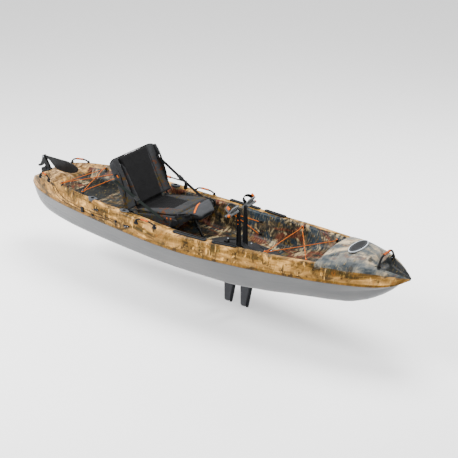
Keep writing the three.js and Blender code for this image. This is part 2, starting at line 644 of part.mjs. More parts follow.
function addSeatBase() {
  const plan = [...SEAT_PLAN, ...SEAT_PLAN.map(([u, y, radius]) => [u, -y, radius]).reverse()];
  const prism = placed(platePiece(rounded(plan, 4), 200, 'xy'), [0, 0, -150]);
  const padSide = rounded([[14, 0, 14], [472, 0], [472, -30], [14, -30, 10]], 3);
  const noseSide = rounded([[473, 0], [540, -4, 40], [624, -48, 16], [612, -66, 12], [473, -30]], 3);
  const width = 500;
  const cut = (outline) => platePiece(outline, width).intersect(prism);
  add('seat_base_pad', onBaseFrame(cut(padSide)), FINISH.fabric);
  add('seat_nose_pad', onBaseFrame(cut(noseSide)), FINISH.nose);

  const radius = 10;
  const [railY, low] = [186, -30 - radius - 1];
  const side = [[-6, railY, low], [470, railY, low], [592, 74, low - 34]];
  const loop = bentRod([...side, ...side.map(([u, y, w]) => [u, -y, w]).reverse()], radius);
  const rearTube = rod([-6, -railY - 34, low], [-6, railY + 34, low], radius, 8);
  const cross = rod([440, -railY, low], [440, railY, low], radius, 8);
  const lug = (y) => platePiece(rounded([[426, low], [454, low], [454, low - 42, 12],
    [426, low - 42, 12]], 2), 6).translate([0, y, 0]);
  const pin = rod([440, -20, low - 27], [440, 20, low - 27], 4, 10);
  add('seat_frame', onBaseFrame(join(loop, rearTube, cross, lug(-18), lug(18), pin)), FINISH.alloy);
}

/** The fabric wall between the edge of the base and the hook that holds the frame to the deck. */
function addSeatSkirt(name, side) {
  const outline = [
    onBase(30, 0, -4), onBase(395, 0, -2), onBase(474, 0, -4), onBase(470, 0, -108),
    onBase(418, 0, -128), onBase(30, 0, -52),
  ].map(([x, , z]) => [x, z]);
  const wall = placed(platePiece(rounded(outline.map(([x, z]) => [x, z, 10]), 2), 6), [0, 246, 0]);
  add(`seat_skirt_${name}`, onSide(seated(wall), side), FINISH.fabric);
}

/** The hook at the side of the seat, which carries the frame on the deck's inner wall. */
function addSeatBracket(name, side) {
  const [x, , z] = [-88, 290, 292];
  const boss = rod([x, 252, z], [x, 300, z], 22, 16);
  const tongue = block([x - 24, 262, z - 8], [x + 24, 350, z + 6]);
  add(`seat_bracket_${name}`, onSide(seated(boss.add(tongue)), side), FINISH.black);
}

function addSeatHinge(name, side) {
  const { x, z } = BACK_HINGE;
  const outline = rounded([[x - 20, z + 22, 18], [x + 20, z + 22, 18], [x + 24, z - 40, 10],
    [x + 46, z - 110], [x - 34, z - 110], [x - 24, z - 40, 10]], 3);
  const cheek = placed(platePiece(outline, 8, 'xz', 1), [0, 232, 0]);
  const foot = block([x - 40, 214, z - 120], [x + 52, 250, z - 88]);
  const body = seated(cheek.add(foot)).subtract(onBaseFrame(rod([-6, 0, -41], [-6, 280, -41], 10 + GAP, 12)));
  const pin = rod([x, 236, z], [x, 262, z], 6, 12);
  add(`seat_hinge_${name}`, onSide(body.add(pin), side), FINISH.black);
}

const BACK_OUTLINE = [[24, 176, 12], [462, 176, 12]];

function addBackrest() {
  const half = BACK_OUTLINE;
  const outline = [...half, ...half.map(([v, y, radius]) => [v, -y, radius]).reverse()];
  // the outline is [v, y], so the plate is turned to stand on the hinge line, thick along X
  const panel = placed(platePiece(rounded(outline.map(([v, y, radius]) => [y, v, radius]), 3), 26),
    [0, 0, 0], [0, 0, 90]);
  add('backrest_pad', onBackFrame(placed(panel, [13, 0, 0])), FINISH.fabric);
  SIDES.forEach(([name, side]) => add(`backrest_wing_${name}`, onSide(backWing(), side), FINISH.fabric));

  const radius = 9;
  const w = -15;
  const leg = [[60, 252], [130, 246], [330, 232], [424, 190], [446, 120]];
  const path = [...leg.map(([v, y]) => onBack(v, y, w)), ...leg.map(([v, y]) => onBack(v, -y, w)).reverse()];
  const { x, z } = BACK_HINGE;
  const ear = (y) => {
    const start = onBack(60, y, w);
    const boss = rod([x, y - 5, z], [x, y + 5, z], 15, 14);
    const link = rod([x, y, z], start, 8, 8);
    return boss.add(link);
  };
  const hole = rod([x, -290, z], [x, 290, z], 6.5, 12);
  add('backrest_frame', join(bentRod(path, radius), ear(252), ear(-252)).subtract(hole), FINISH.alloy);
}

/** A side wing of the back: it runs out from the centre panel and turns forward. */
function backWing() {
  const section = rounded([[180, 0], [270, -4, 30], [298, 0, 24], [276, 62], [262, 62], [276, 14, 14],
    [258, 12, 20], [180, 16]], 2);
  // drawn as [y, w], then stood up along v
  const upright = placed(platePiece(section, 480, 'xy'), [0, 0, 0], [0, 0, 90]).mirror([1, 0, 0]);
  const side = rounded([[-20, 26], [-20, 462, 20], [34, 462, 30], [60, 400, 50], [62, 300, 60],
    [46, 190, 60], [12, 110, 50], [12, 26]], 3);
  const front = rounded([[170, 20], [170, 462], [212, 462], [280, 452, 50], [302, 380, 70], [302, 20]], 3);
  // the front outline is [y, v], thick along w
  const facing = placed(platePiece(front, 240, 'xz'), [0, 0, 0], [0, 0, 90]);
  const trimmed = upright.intersect(platePiece(side, 700)).intersect(facing);
  const hole = rod([30, 200, 330], [30, 320, 330], 14, 12);
  return onBackFrame(trimmed.subtract(hole));
}

/** A flat strap from the back's wing to the front of the base, with a buckle on it. */
function addStrap(name, side) {
  const top = new THREE.Vector3(...onBack(303, 305, 6));
  const low = new THREE.Vector3(-149, 274, 338);
  const along = low.clone().sub(top);
  const pitch = THREE.MathUtils.radToDeg(Math.atan2(-along.z, along.x));
  const toe = THREE.MathUtils.radToDeg(Math.atan2(along.y, Math.hypot(along.x, along.z)));
  const length = along.length();
  const band = block([8, -1.4, -12], [length - 6, 1.4, 12]);
  const buckle = block([length * 0.42, -5, -17], [length * 0.42 + 44, 5, 17]);
  const strap = placed(placed(band.add(buckle), [0, 0, 0], [0, 0, toe]), top.toArray(), [0, pitch, 0]);
  add(`seat_strap_${name}`, onSide(strap, side), FINISH.webbing);
}

function addSeatLeg() {
  const { x, z, footX, footZ } = LEG;
  const bar = rod([x, 0, z], [footX, 0, footZ + 16], 10, 10);
  const eye = rod([x, -13, z], [x, 13, z], 12, 14);
  const foot = rod([footX, 0, footZ], [footX, 0, footZ + 14], 20, 16);
  const hole = rod([x, -30, z], [x, 30, z], 4.6, 12);
  add('seat_leg', join(bar, eye, foot).subtract(hole), FINISH.black);
}

// ---------------------------------------------------------------- rudder
function addRudder() {
  const { steerX, liftX, liftZ, thickness } = RUDDER;
  const plate = platePiece(rounded([[-1790, -34, 14], [-1700, -34, 14], [-1700, 34, 14], [-1790, 34, 14]], 3),
    60, 'xy');
  const base = seated(placed(plate, [0, 0, 284]));
  const post = rod([steerX, 0, 330], [steerX, 0, 392], 8, 14);
  add('rudder_bracket', base.add(post), FINISH.black);

  const cheek = (y) => {
    const outline = rounded([[-1750, 468, 16], [-1778, 468, 16], [-1786, 420, 12], [-1812, 372, 14],
      [-1842, 362, 8], [-1838, 346, 8], [-1800, 350, 16], [-1770, 392, 20], [-1722, 352, 6],
      [-1700, 352, 6], [-1712, 380, 16], [-1742, 430, 16]], 2);
    return platePiece(outline, 7).translate([0, y, 0]);
  };
  const hub = rod([steerX, 0, 350], [steerX, 0, 388], 15, 16);
  const sole = block([-1738, -14, 352], [-1706, 14, 360]);
  let head = join(cheek(-10), cheek(10), hub, sole, rod([liftX, -14, liftZ], [liftX, 14, liftZ], 5, 10));
  head = head.subtract(rod([steerX, 0, 300], [steerX, 0, 420], 8 + GAP, 14));
  add('rudder_head', head, FINISH.black);

  const outline = rounded([
    [liftX - 14, liftZ - 14, 12], [liftX - 14, liftZ + 14, 12], [-1690, 466, 30], [-1440, 468, 60],
    [-1344, 430, 26], [-1356, 392, 30], [-1430, 360, 40], [-1590, 352, 50], [-1640, 372, 40],
    [-1700, 432, 40], [liftX + 14, liftZ - 14, 12],
  ], 3);
  const blade = platePiece(outline, thickness, 'xz', 2);
  add('rudder_blade', blade.subtract(rod([liftX, -20, liftZ], [liftX, 20, liftZ], 5.5, 12)), FINISH.black);
}

const LEVER = { x: -405, y: 346, z: 412, length: 200 };

function addSteeringLever() {
  const { x, y, z, length } = LEVER;
  const base = rod([x, y, z - 90], [x, y, z - 34], 17, 14);
  const post = rod([x, y, z - 60], [x, y, z - 12], 6, 12);
  add('steering_bracket', seated(base.add(post)), FINISH.black);
  const sleeve = rod([x, y, z - 33], [x, y, z + 8], 12, 14).subtract(rod([x, y, z - 50], [x, y, z - 8], 6.5, 12));
  const bar = bentRod([[x + 2, y, z], [x - 60, y, z + 2], [x - length, y, z + 2]], 6.5);
  const knob = rod([x - length - 4, y, z + 2], [x - length + 34, y, z + 2], 9, 12);
  add('steering_lever', join(sleeve, bar, knob).subtract(rod([x, y, z - 50], [x, y, z - 8], 6.5, 12)),
    FINISH.black);
}

// ---------------------------------------------------------------- cords
/** A cord laced straight from post to post, turning round the far side of each inner one. */
function lacing(posts, turn) {
  const at = posts.map((post) => new THREE.Vector3(...post));
  const route = [];
  at.forEach((post, i) => {
    const before = at[i - 1];
    const after = at[i + 1];
    if (before && after) {
      const out = post.clone().multiplyScalar(2).sub(before).sub(after).setZ(0).normalize();
      const across = new THREE.Vector3(-out.y, out.x, 0);
      const sign = Math.sign(across.dot(before.clone().sub(after))) || 1;
      [80, 40, 0, -40, -80].forEach((degrees) => {
        const angle = THREE.MathUtils.degToRad(degrees);
        route.push(post.clone().addScaledVector(out, turn * Math.cos(angle))
          .addScaledVector(across, sign * turn * Math.sin(angle)));
      });
    } else {
      route.push(post);
    }
    if (after) {
      [0.06, 0.35, 0.65, 0.94].forEach((t) => route.push(post.clone().lerp(after, t)));
    }
  });
  return route;
}

/** How far out the inner wall of the cockpit stands at x and height z. */
function wallY(x, z) {
  const [lipY, lipZ, floorY, floorZ] = [4, 5, 6, 7].map((column) => fair(DECK_STATIONS, column, x));
  return floorY + ((lipY - floorY) * (z - floorZ)) / (lipZ - floorZ);
}

/** The bungee on the cockpit's inner wall: two lengths that meet at an aft post. */
function sideBungee(side) {
  const stand = 12;
  const onWall = ([x, z]) => new THREE.Vector3(x, (wallY(x, z) - stand) * side, z);
  const path = [[415, 266], [330, 266], [230, 266], [160, 267], [139, 262], [160, 254], [230, 232],
    [330, 200], [428, 168]];
  return tubeAlong(path.map(onWall), CORD.bungee, 1, 6);
}

/** A point just off the outside of the deck's section at x. `place` is its number from the seam. */
function offDeck(x, place, out) {
  const section = inset(wholeSection(deckHalf(x)), -out);
  const [y, z] = section[place];
  return new THREE.Vector3(x, -y, z);
}

/** A rudder line: from the bracket over the starboard edge and forward along the deck's side. */
function rudderLine(start, crossX, sideRun) {
  const stand = CORD.line + 1.6;
  const over = [4, 3, 2].map((place, i) => offDeck(crossX + i * 14, place, stand + 1.5));
  const along = sideRun.map(([x, z, y = sideY(x, z) + stand]) => new THREE.Vector3(x, -y, z));
  return tubeAlong([new THREE.Vector3(...start), ...over, ...along], CORD.line, 2, 6);
}

/** The double clip that holds both rudder lines off the deck's side. */
function lineClip() {
  const { x, y, heights } = LINE_CLIP;
  const body = block([x - 13, -y - 8, heights[1] - 12], [x + 13, -y + 5.6, heights[0] + 12]);
  const bores = heights.map((z) => rod([x - 30, -y, z], [x + 30, -y, z], CORD.line + 1, 8));
  return bores.reduce((left, bore) => left.subtract(bore), body);
}

function addCords() {
  const front = lacing([[1192, -230, 347], [842, 272, 340], [846, -272, 331], [1188, 230, 334]], 10);
  add('front_bungee', tubeAlong(front, CORD.bungee, 1, 6), FINISH.bungee);
  const rear = lacing([[-1256, 260, 366], [-1266, -292, 408], [-968, 306, 392], [-990, -328, 408],
    [-1262, 256, 376]], 10);
  add('rear_bungee', tubeAlong(rear, CORD.bungee, 1, 6), FINISH.bungee);
  SIDES.forEach(([name, side]) => add(`side_bungee_${name}`, sideBungee(side), FINISH.bungee));

  const { x, y, heights: [upperZ, lowerZ] } = LINE_CLIP;
  const upper = rudderLine([-1702, -37, 362], -1420, [[-1290, 312], [-1200, 284], [-1100, 274],
    [x - 26, upperZ, y], [x + 26, upperZ, y], [-880, 270], [-780, 272], [-680, 272], [-580, 271],
    [-500, 268], [-440, 264]]);
  const lower = rudderLine([-1704, -37, 350], -1450, [[-1320, 282], [-1220, 256], [-1100, 249],
    [x - 26, lowerZ, y], [x + 26, lowerZ, y], [-880, 244], [-780, 247], [-680, 252], [-580, 256],
    [-500, 256], [-440, 254]]);
  add('rudder_line_upper', upper, FINISH.webbing);
  add('rudder_line_lower', lower, FINISH.webbing);
  add('line_clip', lineClip(), FINISH.black);
}

// ---------------------------------------------------------------- assembly
add('hull_shell', makeHull(), FINISH.hull);
add('deck_shell', makeDeck(), FINISH.deck);
add('drive_well', makeDriveWell(), FINISH.black);
addDrivePlate();
addDriveHousing();
addDriveClamps();
SIDES.forEach(([name, side]) => addPedal(name, side));
addFin('rear', REAR_FIN_X);
addFin('front', FRONT_FIN_X);
addSeatBase();
SIDES.forEach(([name, side]) => {
  addSeatSkirt(name, side);
  addSeatBracket(name, side);
  addSeatHinge(name, side);
  addStrap(name, side);
});
addBackrest();
addSeatLeg();
addTracks();
addRodHolders();
addHandles();
addRudder();
addSteeringLever();
addCords();

export default kayak;
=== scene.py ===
"""The looks of a pedal-drive sit-on-top fishing kayak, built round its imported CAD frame.

+X is to the bow, +Y to port and +Z up. Fractions are metres. Whole numbers, such as the station
tables, are millimetres, as in the CAD source that they repeat, and are multiplied by MM."""
import json
import math

import bmesh
import bpy
import numpy as np
from mathutils import Matrix, Vector, noise


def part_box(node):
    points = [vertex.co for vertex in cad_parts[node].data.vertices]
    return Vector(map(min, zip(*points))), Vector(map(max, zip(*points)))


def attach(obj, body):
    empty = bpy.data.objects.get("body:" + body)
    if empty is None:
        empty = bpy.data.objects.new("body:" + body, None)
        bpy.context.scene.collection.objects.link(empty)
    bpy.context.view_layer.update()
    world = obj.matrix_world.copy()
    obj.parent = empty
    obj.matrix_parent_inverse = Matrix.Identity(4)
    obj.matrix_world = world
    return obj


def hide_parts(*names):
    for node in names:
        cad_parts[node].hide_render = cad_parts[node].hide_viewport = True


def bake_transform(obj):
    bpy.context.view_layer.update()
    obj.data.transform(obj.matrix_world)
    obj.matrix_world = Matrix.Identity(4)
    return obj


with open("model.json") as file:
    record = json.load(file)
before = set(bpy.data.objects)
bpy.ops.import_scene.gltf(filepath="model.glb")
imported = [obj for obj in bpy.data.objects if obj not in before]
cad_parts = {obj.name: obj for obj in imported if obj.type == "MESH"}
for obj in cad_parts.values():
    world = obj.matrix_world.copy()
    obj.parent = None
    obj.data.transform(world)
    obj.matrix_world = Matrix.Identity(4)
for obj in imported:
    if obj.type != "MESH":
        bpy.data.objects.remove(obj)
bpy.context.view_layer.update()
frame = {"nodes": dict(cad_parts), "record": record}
MM = 0.001

RECORD = frame["record"]
BODY_OF = {node: body for body, nodes in RECORD["behaviour"]["bodies"].items() for node in nodes}
SIDES = (("left", 1), ("right", -1))


# ---------------------------------------------------------------- camera, light and floor
AZIMUTH, ELEVATION = math.radians(35.9), math.radians(24.8)
TARGET = Vector((0.31, 0.0, 0.283))
DISTANCE = 8.8
SENSOR_WIDTH, LENS = 36, 84.9
WORLD_STRENGTH = 1.3
FLOOR_Z, FLOOR_REACH = -0.45, 30
LIGHTS = (  # name, place, aim, diameter and power
    ("key", (-4.5, -4.0, 4.5), (-0.3, 0, 0.2), 2.6, 950),
    ("top", (0.5, 0.6, 5.0), (0.2, 0, 0.2), 3.0, 480),
    ("rim", (3.0, 5.0, 3.5), (0.4, 0, 0.3), 2.0, 230))


def make_camera():
    away = Vector((math.sin(AZIMUTH) * math.cos(ELEVATION), -math.cos(AZIMUTH) * math.cos(ELEVATION),
                   math.sin(ELEVATION)))
    data = bpy.data.cameras.new("camera")
    data.sensor_width = SENSOR_WIDTH
    data.lens = LENS
    camera = bpy.data.objects.new("camera", data)
    camera.location = TARGET + DISTANCE * away
    camera.rotation_euler = (-away).to_track_quat("-Z", "Y").to_euler()
    bpy.context.scene.collection.objects.link(camera)
    bpy.context.scene.camera = camera


def area_light(name, place, aim, size, power):
    data = bpy.data.lights.new(name, "AREA")
    data.shape = "DISK"
    data.size = size
    data.energy = power
    light = bpy.data.objects.new(name, data)
    light.location = place
    light.rotation_euler = (Vector(aim) - Vector(place)).to_track_quat("-Z", "Y").to_euler()
    bpy.context.scene.collection.objects.link(light)


def make_studio():
    """An even white room: a bright world, three soft lights and a floor."""
    world = bpy.data.worlds.new("studio")
    world.use_nodes = True
    background = world.node_tree.nodes["Background"]
    background.inputs["Color"].default_value = (1, 1, 1, 1)
    background.inputs["Strength"].default_value = WORLD_STRENGTH
    bpy.context.scene.world = world
    for light in LIGHTS:
        area_light(*light)
    ways = ((-1, -1), (1, -1), (1, 1), (-1, 1))
    corners = [(x * FLOOR_REACH, y * FLOOR_REACH, FLOOR_Z) for x, y in ways]
    floor = mesh_object("floor", corners, [(0, 1, 2, 3)], plain("floor_white", (0.95, 0.95, 0.95), 0.9))


# ---------------------------------------------------------------- mesh helpers
def mesh_object(name, points, faces, material=None, smooth=False):
    mesh = bpy.data.meshes.new(name)
    mesh.from_pydata([tuple(point) for point in points], [], [tuple(face) for face in faces])
    mesh.update()
    if material:
        mesh.materials.append(material)
    if smooth:
        mesh.polygons.foreach_set("use_smooth", [True] * len(mesh.polygons))
    obj = bpy.data.objects.new(name, mesh)
    bpy.context.scene.collection.objects.link(obj)
    return obj


def settle(piece, body, nodes=()):
    """Puts a finished piece on its body and hides the CAD nodes that it stands for."""
    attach(piece, body)
    if nodes:
        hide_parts(*nodes)
    return piece


def bevelled(piece, width, segments=2, degrees=35):
    """Rounds a piece's sharp edges."""
    modifier = piece.modifiers.new("edges", "BEVEL")
    modifier.width = width
    modifier.segments = segments
    modifier.limit_method = "ANGLE"
    modifier.angle_limit = math.radians(degrees)
    modifier.use_clamp_overlap = True
    piece.data.polygons.foreach_set("use_smooth", [True] * len(piece.data.polygons))
    piece.modifiers.new("normals", "WEIGHTED_NORMAL").keep_sharp = True
    return piece


def refine(node, material, width=0.0012, segments=2):
    """A copy of a CAD node with its flat facets merged and its edges rounded."""
    mesh = frame["nodes"][node].data.copy()
    shape = bmesh.new()
    shape.from_mesh(mesh)
    bmesh.ops.remove_doubles(shape, verts=shape.verts, dist=2e-5)
    bmesh.ops.dissolve_limit(shape, angle_limit=math.radians(1.5), verts=shape.verts, edges=shape.edges)
    shape.to_mesh(mesh)
    shape.free()
    mesh.materials.clear()
    mesh.materials.append(material)
    piece = bpy.data.objects.new(f"{node}_fine", mesh)
    bpy.context.scene.collection.objects.link(piece)
    bevelled(piece, width, segments, 32)
    return settle(piece, BODY_OF[node], [node])


def spline_points(points, steps):
    """A centripetal-like smooth curve through the points."""
    path = [Vector(point) for point in points]
    ends = [path[0] * 2 - path[1], *path, path[-1] * 2 - path[-2]]
    out = []
    for i in range(1, len(ends) - 2):
        a, b, c, d = ends[i - 1:i + 3]
        gaps = [max((q - p).length, 1e-6) ** 0.5 for p, q in ((a, b), (b, c), (c, d))]
        slope_b = ((b - a) / gaps[0] - (c - a) / (gaps[0] + gaps[1]) + (c - b) / gaps[1]) * gaps[1]
        slope_c = ((c - b) / gaps[1] - (d - b) / (gaps[1] + gaps[2]) + (d - c) / gaps[2]) * gaps[1]
        for k in range(steps):
            t = k / steps
            t2, t3 = t * t, t * t * t
            out.append(b * (2 * t3 - 3 * t2 + 1) + slope_b * (t3 - 2 * t2 + t)
                       + c * (3 * t2 - 2 * t3) + slope_c * (t3 - t2))
    out.append(path[-1])
    return out


def bent_points(points, bend, steps=6):
    """Straight runs between the points, with an arc of about `bend` at each inner one."""
    chain = [Vector(point) for point in points]
    out = [chain[0]]
    for before, corner, after in zip(chain, chain[1:], chain[2:]):
        into, away = before - corner, after - corner
        reach = min(bend, into.length * 0.45, away.length * 0.45)
        a, b = corner + into.normalized() * reach, corner + away.normalized() * reach
        for k in range(steps + 1):
            t = k / steps
            out.append(a * (1 - t) ** 2 + corner * 2 * t * (1 - t) + b * t * t)
    out.append(chain[-1])
    return out


def tube(name, points, radius, material, sides=4):
    """A round bar or cord along a line of points."""
    curve = bpy.data.curves.new(name, "CURVE")
    curve.dimensions = "3D"
    curve.bevel_depth = radius
    curve.bevel_resolution = sides
    curve.use_fill_caps = True
    spline = curve.splines.new("POLY")
    spline.points.add(len(points) - 1)
    for target, point in zip(spline.points, points):
        target.co = (*point, 1)
    spline.use_smooth = True
    curve.materials.append(material)
    obj = bpy.data.objects.new(name, curve)
    bpy.context.scene.collection.objects.link(obj)
    return obj


def joined(name, pieces):
    """Joins several mesh pieces into one mesh object. Each piece keeps its materials."""
    out = bmesh.new()
    materials = []
    for piece in pieces:
        evaluated = piece.evaluated_get(bpy.context.evaluated_depsgraph_get())
        mesh = bpy.data.meshes.new_from_object(evaluated)
        mesh.transform(piece.matrix_world)
        own = list(mesh.materials)
        for material in own:
            if material not in materials:
                materials.append(material)
        first = len(out.faces)
        out.from_mesh(mesh)
        out.faces.ensure_lookup_table()
        for face in out.faces[first:]:
            face.material_index = materials.index(own[face.material_index]) if own else 0
        bpy.data.meshes.remove(mesh)
    mesh = bpy.data.meshes.new(name)
    out.to_mesh(mesh)
    out.free()
    for material in materials:
        mesh.materials.append(material)
    for piece in pieces:
        bpy.data.objects.remove(piece)
    obj = bpy.data.objects.new(name, mesh)
    bpy.context.scene.collection.objects.link(obj)
    return obj


def outline_prism(name, outline, low, high, material, bevel=0.001, segments=2):
    """A plate from an outline of (a, b) points, between two heights of its third axis."""
    count = len(outline)
    points = [(a, b, low) for a, b in outline] + [(a, b, high) for a, b in outline]
    faces = [tuple(reversed(range(count))), tuple(range(count, 2 * count))]
    faces += [(i, (i + 1) % count, count + (i + 1) % count, count + i) for i in range(count)]
    return bevelled(mesh_object(name, points, faces, material), bevel, segments)


def soft_box(name, size, material, bevel=0.002, segments=3):
    """A box about the origin with rounded edges."""
    x, y, z = (s / 2 for s in size)
    return outline_prism(name, [(-x, -y), (x, -y), (x, y), (-x, y)], -z, z, material, bevel, segments)


def rounded(corners, steps=5):
    """Rounds the corners of an outline: each (a, b, radius) corner becomes a short arc."""
    out = []
    for i, (a, b, *rest) in enumerate(corners):
        radius = rest[0] if rest else 0
        corner = Vector((a, b))
        if not radius:
            out.append((a, b))
            continue
        before = Vector(corners[i - 1][:2]) - corner
        after = Vector(corners[(i + 1) % len(corners)][:2]) - corner
        reach = min(radius, before.length * 0.48, after.length * 0.48)
        p, q = corner + before.normalized() * reach, corner + after.normalized() * reach
        for k in range(steps + 1):
            t = k / steps
            point = p * (1 - t) ** 2 + corner * 2 * t * (1 - t) + q * t * t
            out.append((point.x, point.y))
    return out


def oval(a, b, count=32):
    """The outline of an ellipse with half widths a and b."""
    turns = [2 * math.pi * k / count for k in range(count)]
    return [(a * math.cos(turn), b * math.sin(turn)) for turn in turns]


def turned(name, profile, material, sides=24):
    """A turned piece about Z from a profile of (radius, z) points that starts and ends on the axis."""
    points, faces = [], []
    for radius, z in profile:
        for k in range(sides):
            angle = 2 * math.pi * k / sides
            points.append((radius * math.cos(angle), radius * math.sin(angle), z))
    for i in range(len(profile) - 1):
        for k in range(sides):
            j = (k + 1) % sides
            faces.append((i * sides + k, i * sides + j, (i + 1) * sides + j, (i + 1) * sides + k))
    piece = mesh_object(name, points, faces, material, smooth=True)
    shape = bmesh.new()
    shape.from_mesh(piece.data)
    bmesh.ops.remove_doubles(shape, verts=shape.verts, dist=1e-6)
    bmesh.ops.recalc_face_normals(shape, faces=shape.faces)
    shape.to_mesh(piece.data)
    shape.free()
    return piece


def turned_mm(name, profile, material, sides=24):
    """A turned piece whose profile is in millimetres."""
    piece = turned(name, profile, material, sides)
    piece.data.transform(Matrix.Scale(MM, 4))
    return piece


def stand(piece, place, normal=(0, 0, 1), heading=(1, 0, 0)):
    """Stands a piece made about the origin at a place, its Z along normal and its X near heading."""
    z = Vector(normal).normalized()
    y = z.cross(Vector(heading)).normalized()
    x = y.cross(z)
    turn = Matrix((x, y, z)).transposed().to_4x4()
    piece.matrix_world = Matrix.Translation(place) @ turn
    bpy.context.view_layer.update()
    return piece


# ---------------------------------------------------------------- materials
TONE_POWER, TONE_SCALE = 1.216, 0.224   # how the viewer's tone curve maps light to the screen
STUDIO_LIGHT = 3.4                      # light that a surface gets from the studio, on average
RICHNESS = 1.22                         # makes up for the colour that the tone curve takes out


def linear(*rgb):
    """The base colour that shows as a screen colour from 0 to 255 in this studio's light."""
    shown = [min(max(v, 1), 235) / 255 for v in rgb]
    light = [TONE_SCALE * (v / (1 - v)) ** TONE_POWER / STUDIO_LIGHT for v in shown]
    middle = sum(light) / 3
    return tuple(min(middle * (v / middle) ** RICHNESS, 0.92) for v in light) + (1,)


class Shader:
    """A node material: its Principled shader and short calls that add nodes to it."""

    def __init__(self, name, color, roughness, metallic=0.0):
        self.material = bpy.data.materials.new(name)
        self.material.use_nodes = True
        self.tree = self.material.node_tree
        self.principled = self.tree.nodes["Principled BSDF"]
        self.principled.inputs["Base Color"].default_value = color
        self.principled.inputs["Roughness"].default_value = roughness
        self.principled.inputs["Metallic"].default_value = metallic
        self.principled.inputs["Specular IOR Level"].default_value = 0.11
        self.material.diffuse_color = color

    def feed(self, socket, value):
        """Links an output to a socket, or sets the socket to a constant."""
        if hasattr(value, "is_output"):
            self.tree.links.new(value, socket)
        else:
            socket.default_value = value

    def add(self, kind, **inputs):
        node = self.tree.nodes.new(kind)
        for key, value in inputs.items():
            self.feed(node.inputs[key], value)
        return node

    def attribute(self, name, output="Vector"):
        node = self.tree.nodes.new("ShaderNodeAttribute")
        node.attribute_name = name
        return node.outputs[output]

    def position(self):
        return self.tree.nodes.new("ShaderNodeTexCoord").outputs["Object"]

    def scaled(self, vector, scale, place=(0, 0, 0), turn=(0, 0, 0)):
        node = self.add("ShaderNodeMapping", Vector=vector, Scale=scale, Location=place, Rotation=turn)
        return node.outputs["Vector"]

    def noise(self, vector, scale, detail=3.0, roughness=0.55, distortion=0.0):
        node = self.add("ShaderNodeTexNoise", Vector=vector, Scale=scale, Detail=detail,
                        Roughness=roughness, Distortion=distortion)
        return node.outputs["Fac"]

    def math(self, operation, a, b=0.0, clamp=False):
        node = self.tree.nodes.new("ShaderNodeMath")
        node.operation = operation
        node.use_clamp = clamp
        for socket, value in zip(node.inputs, (a, b)):
            self.feed(socket, value)
        return node.outputs["Value"]

    def average(self, a, b, share):
        return self.math("ADD", self.math("MULTIPLY", a, 1 - share), self.math("MULTIPLY", b, share))

    def remap(self, value, low, high, to_low=0.0, to_high=1.0):
        node = self.tree.nodes.new("ShaderNodeMapRange")
        node.interpolation_type = "SMOOTHSTEP"
        self.tree.links.new(value, node.inputs["Value"])
        limits = {"From Min": low, "From Max": high, "To Min": to_low, "To Max": to_high}
        for key, number in limits.items():
            node.inputs[key].default_value = number
        return node.outputs["Result"]

    def ramp(self, value, stops):
        node = self.add("ShaderNodeValToRGB", Fac=value)
        elements = node.color_ramp.elements
        while len(elements) < len(stops):
            elements.new(0.5)
        for element, (place, color) in zip(elements, stops):
            element.position = place
            element.color = color
        return node.outputs["Color"]

    def mix(self, factor, a, b, blend="MIX"):
        node = self.tree.nodes.new("ShaderNodeMix")
        node.data_type = "RGBA"
        node.blend_type = blend
        colors = [s for s in node.inputs if s.type == "RGBA"]
        for socket, value in zip((node.inputs[0], *colors), (factor, a, b)):
            self.feed(socket, value)
        return [s for s in node.outputs if s.type == "RGBA"][0]

    def color(self, value):
        self.tree.links.new(value, self.principled.inputs["Base Color"])

    def rough(self, value):
        self.tree.links.new(value, self.principled.inputs["Roughness"])

    def bump(self, value, strength, distance):
        node = self.add("ShaderNodeBump", Height=value, Strength=strength, Distance=distance)
        self.tree.links.new(node.outputs["Normal"], self.principled.inputs["Normal"])


def wave_scale(pitch):
    """The scale of a wave texture whose bands are about two pitches apart."""
    return 1 / pitch / 6.28


def plain(name, color, roughness):
    """One colour with a slightly uneven gloss."""
    shader = Shader(name, (*color, 1), roughness)
    grain = shader.noise(shader.position(), 40, 2)
    shader.rough(shader.remap(grain, 0.2, 0.8, roughness - 0.04, roughness + 0.04))
    return shader.material


def moulded(name, rgb, roughness, grain=900, strength=0.25, wear=0.12):
    """Moulded plastic: a fine grain, slight colour drift and polished patches."""
    color = linear(*rgb)
    shader = Shader(name, color, roughness)
    place = shader.position()
    drift = shader.noise(place, 9, 3)
    lighter = tuple(min(1, c * (1 + wear) + 0.004) for c in color[:3]) + (1,)
    darker = tuple(c * (1 - wear) for c in color[:3]) + (1,)
    shader.color(shader.ramp(drift, [(0.3, darker), (0.7, lighter)]))
    shader.rough(shader.remap(shader.noise(place, 30, 4), 0.3, 0.7, roughness - 0.07, roughness + 0.08))
    shader.bump(shader.noise(place, grain, 2), strength, 0.0004)
    return shader.material


def anodised(name, rgb, roughness=0.35):
    """Metal with fine drawing marks."""
    shader = Shader(name, linear(*rgb), roughness, 0.75)
    place = shader.position()
    shader.rough(shader.remap(shader.noise(place, 60, 4), 0.3, 0.7, roughness - 0.08, roughness + 0.12))
    shader.bump(shader.noise(shader.scaled(place, (1, 1, 8)), 400, 2), 0.12, 0.0003)
    return shader.material


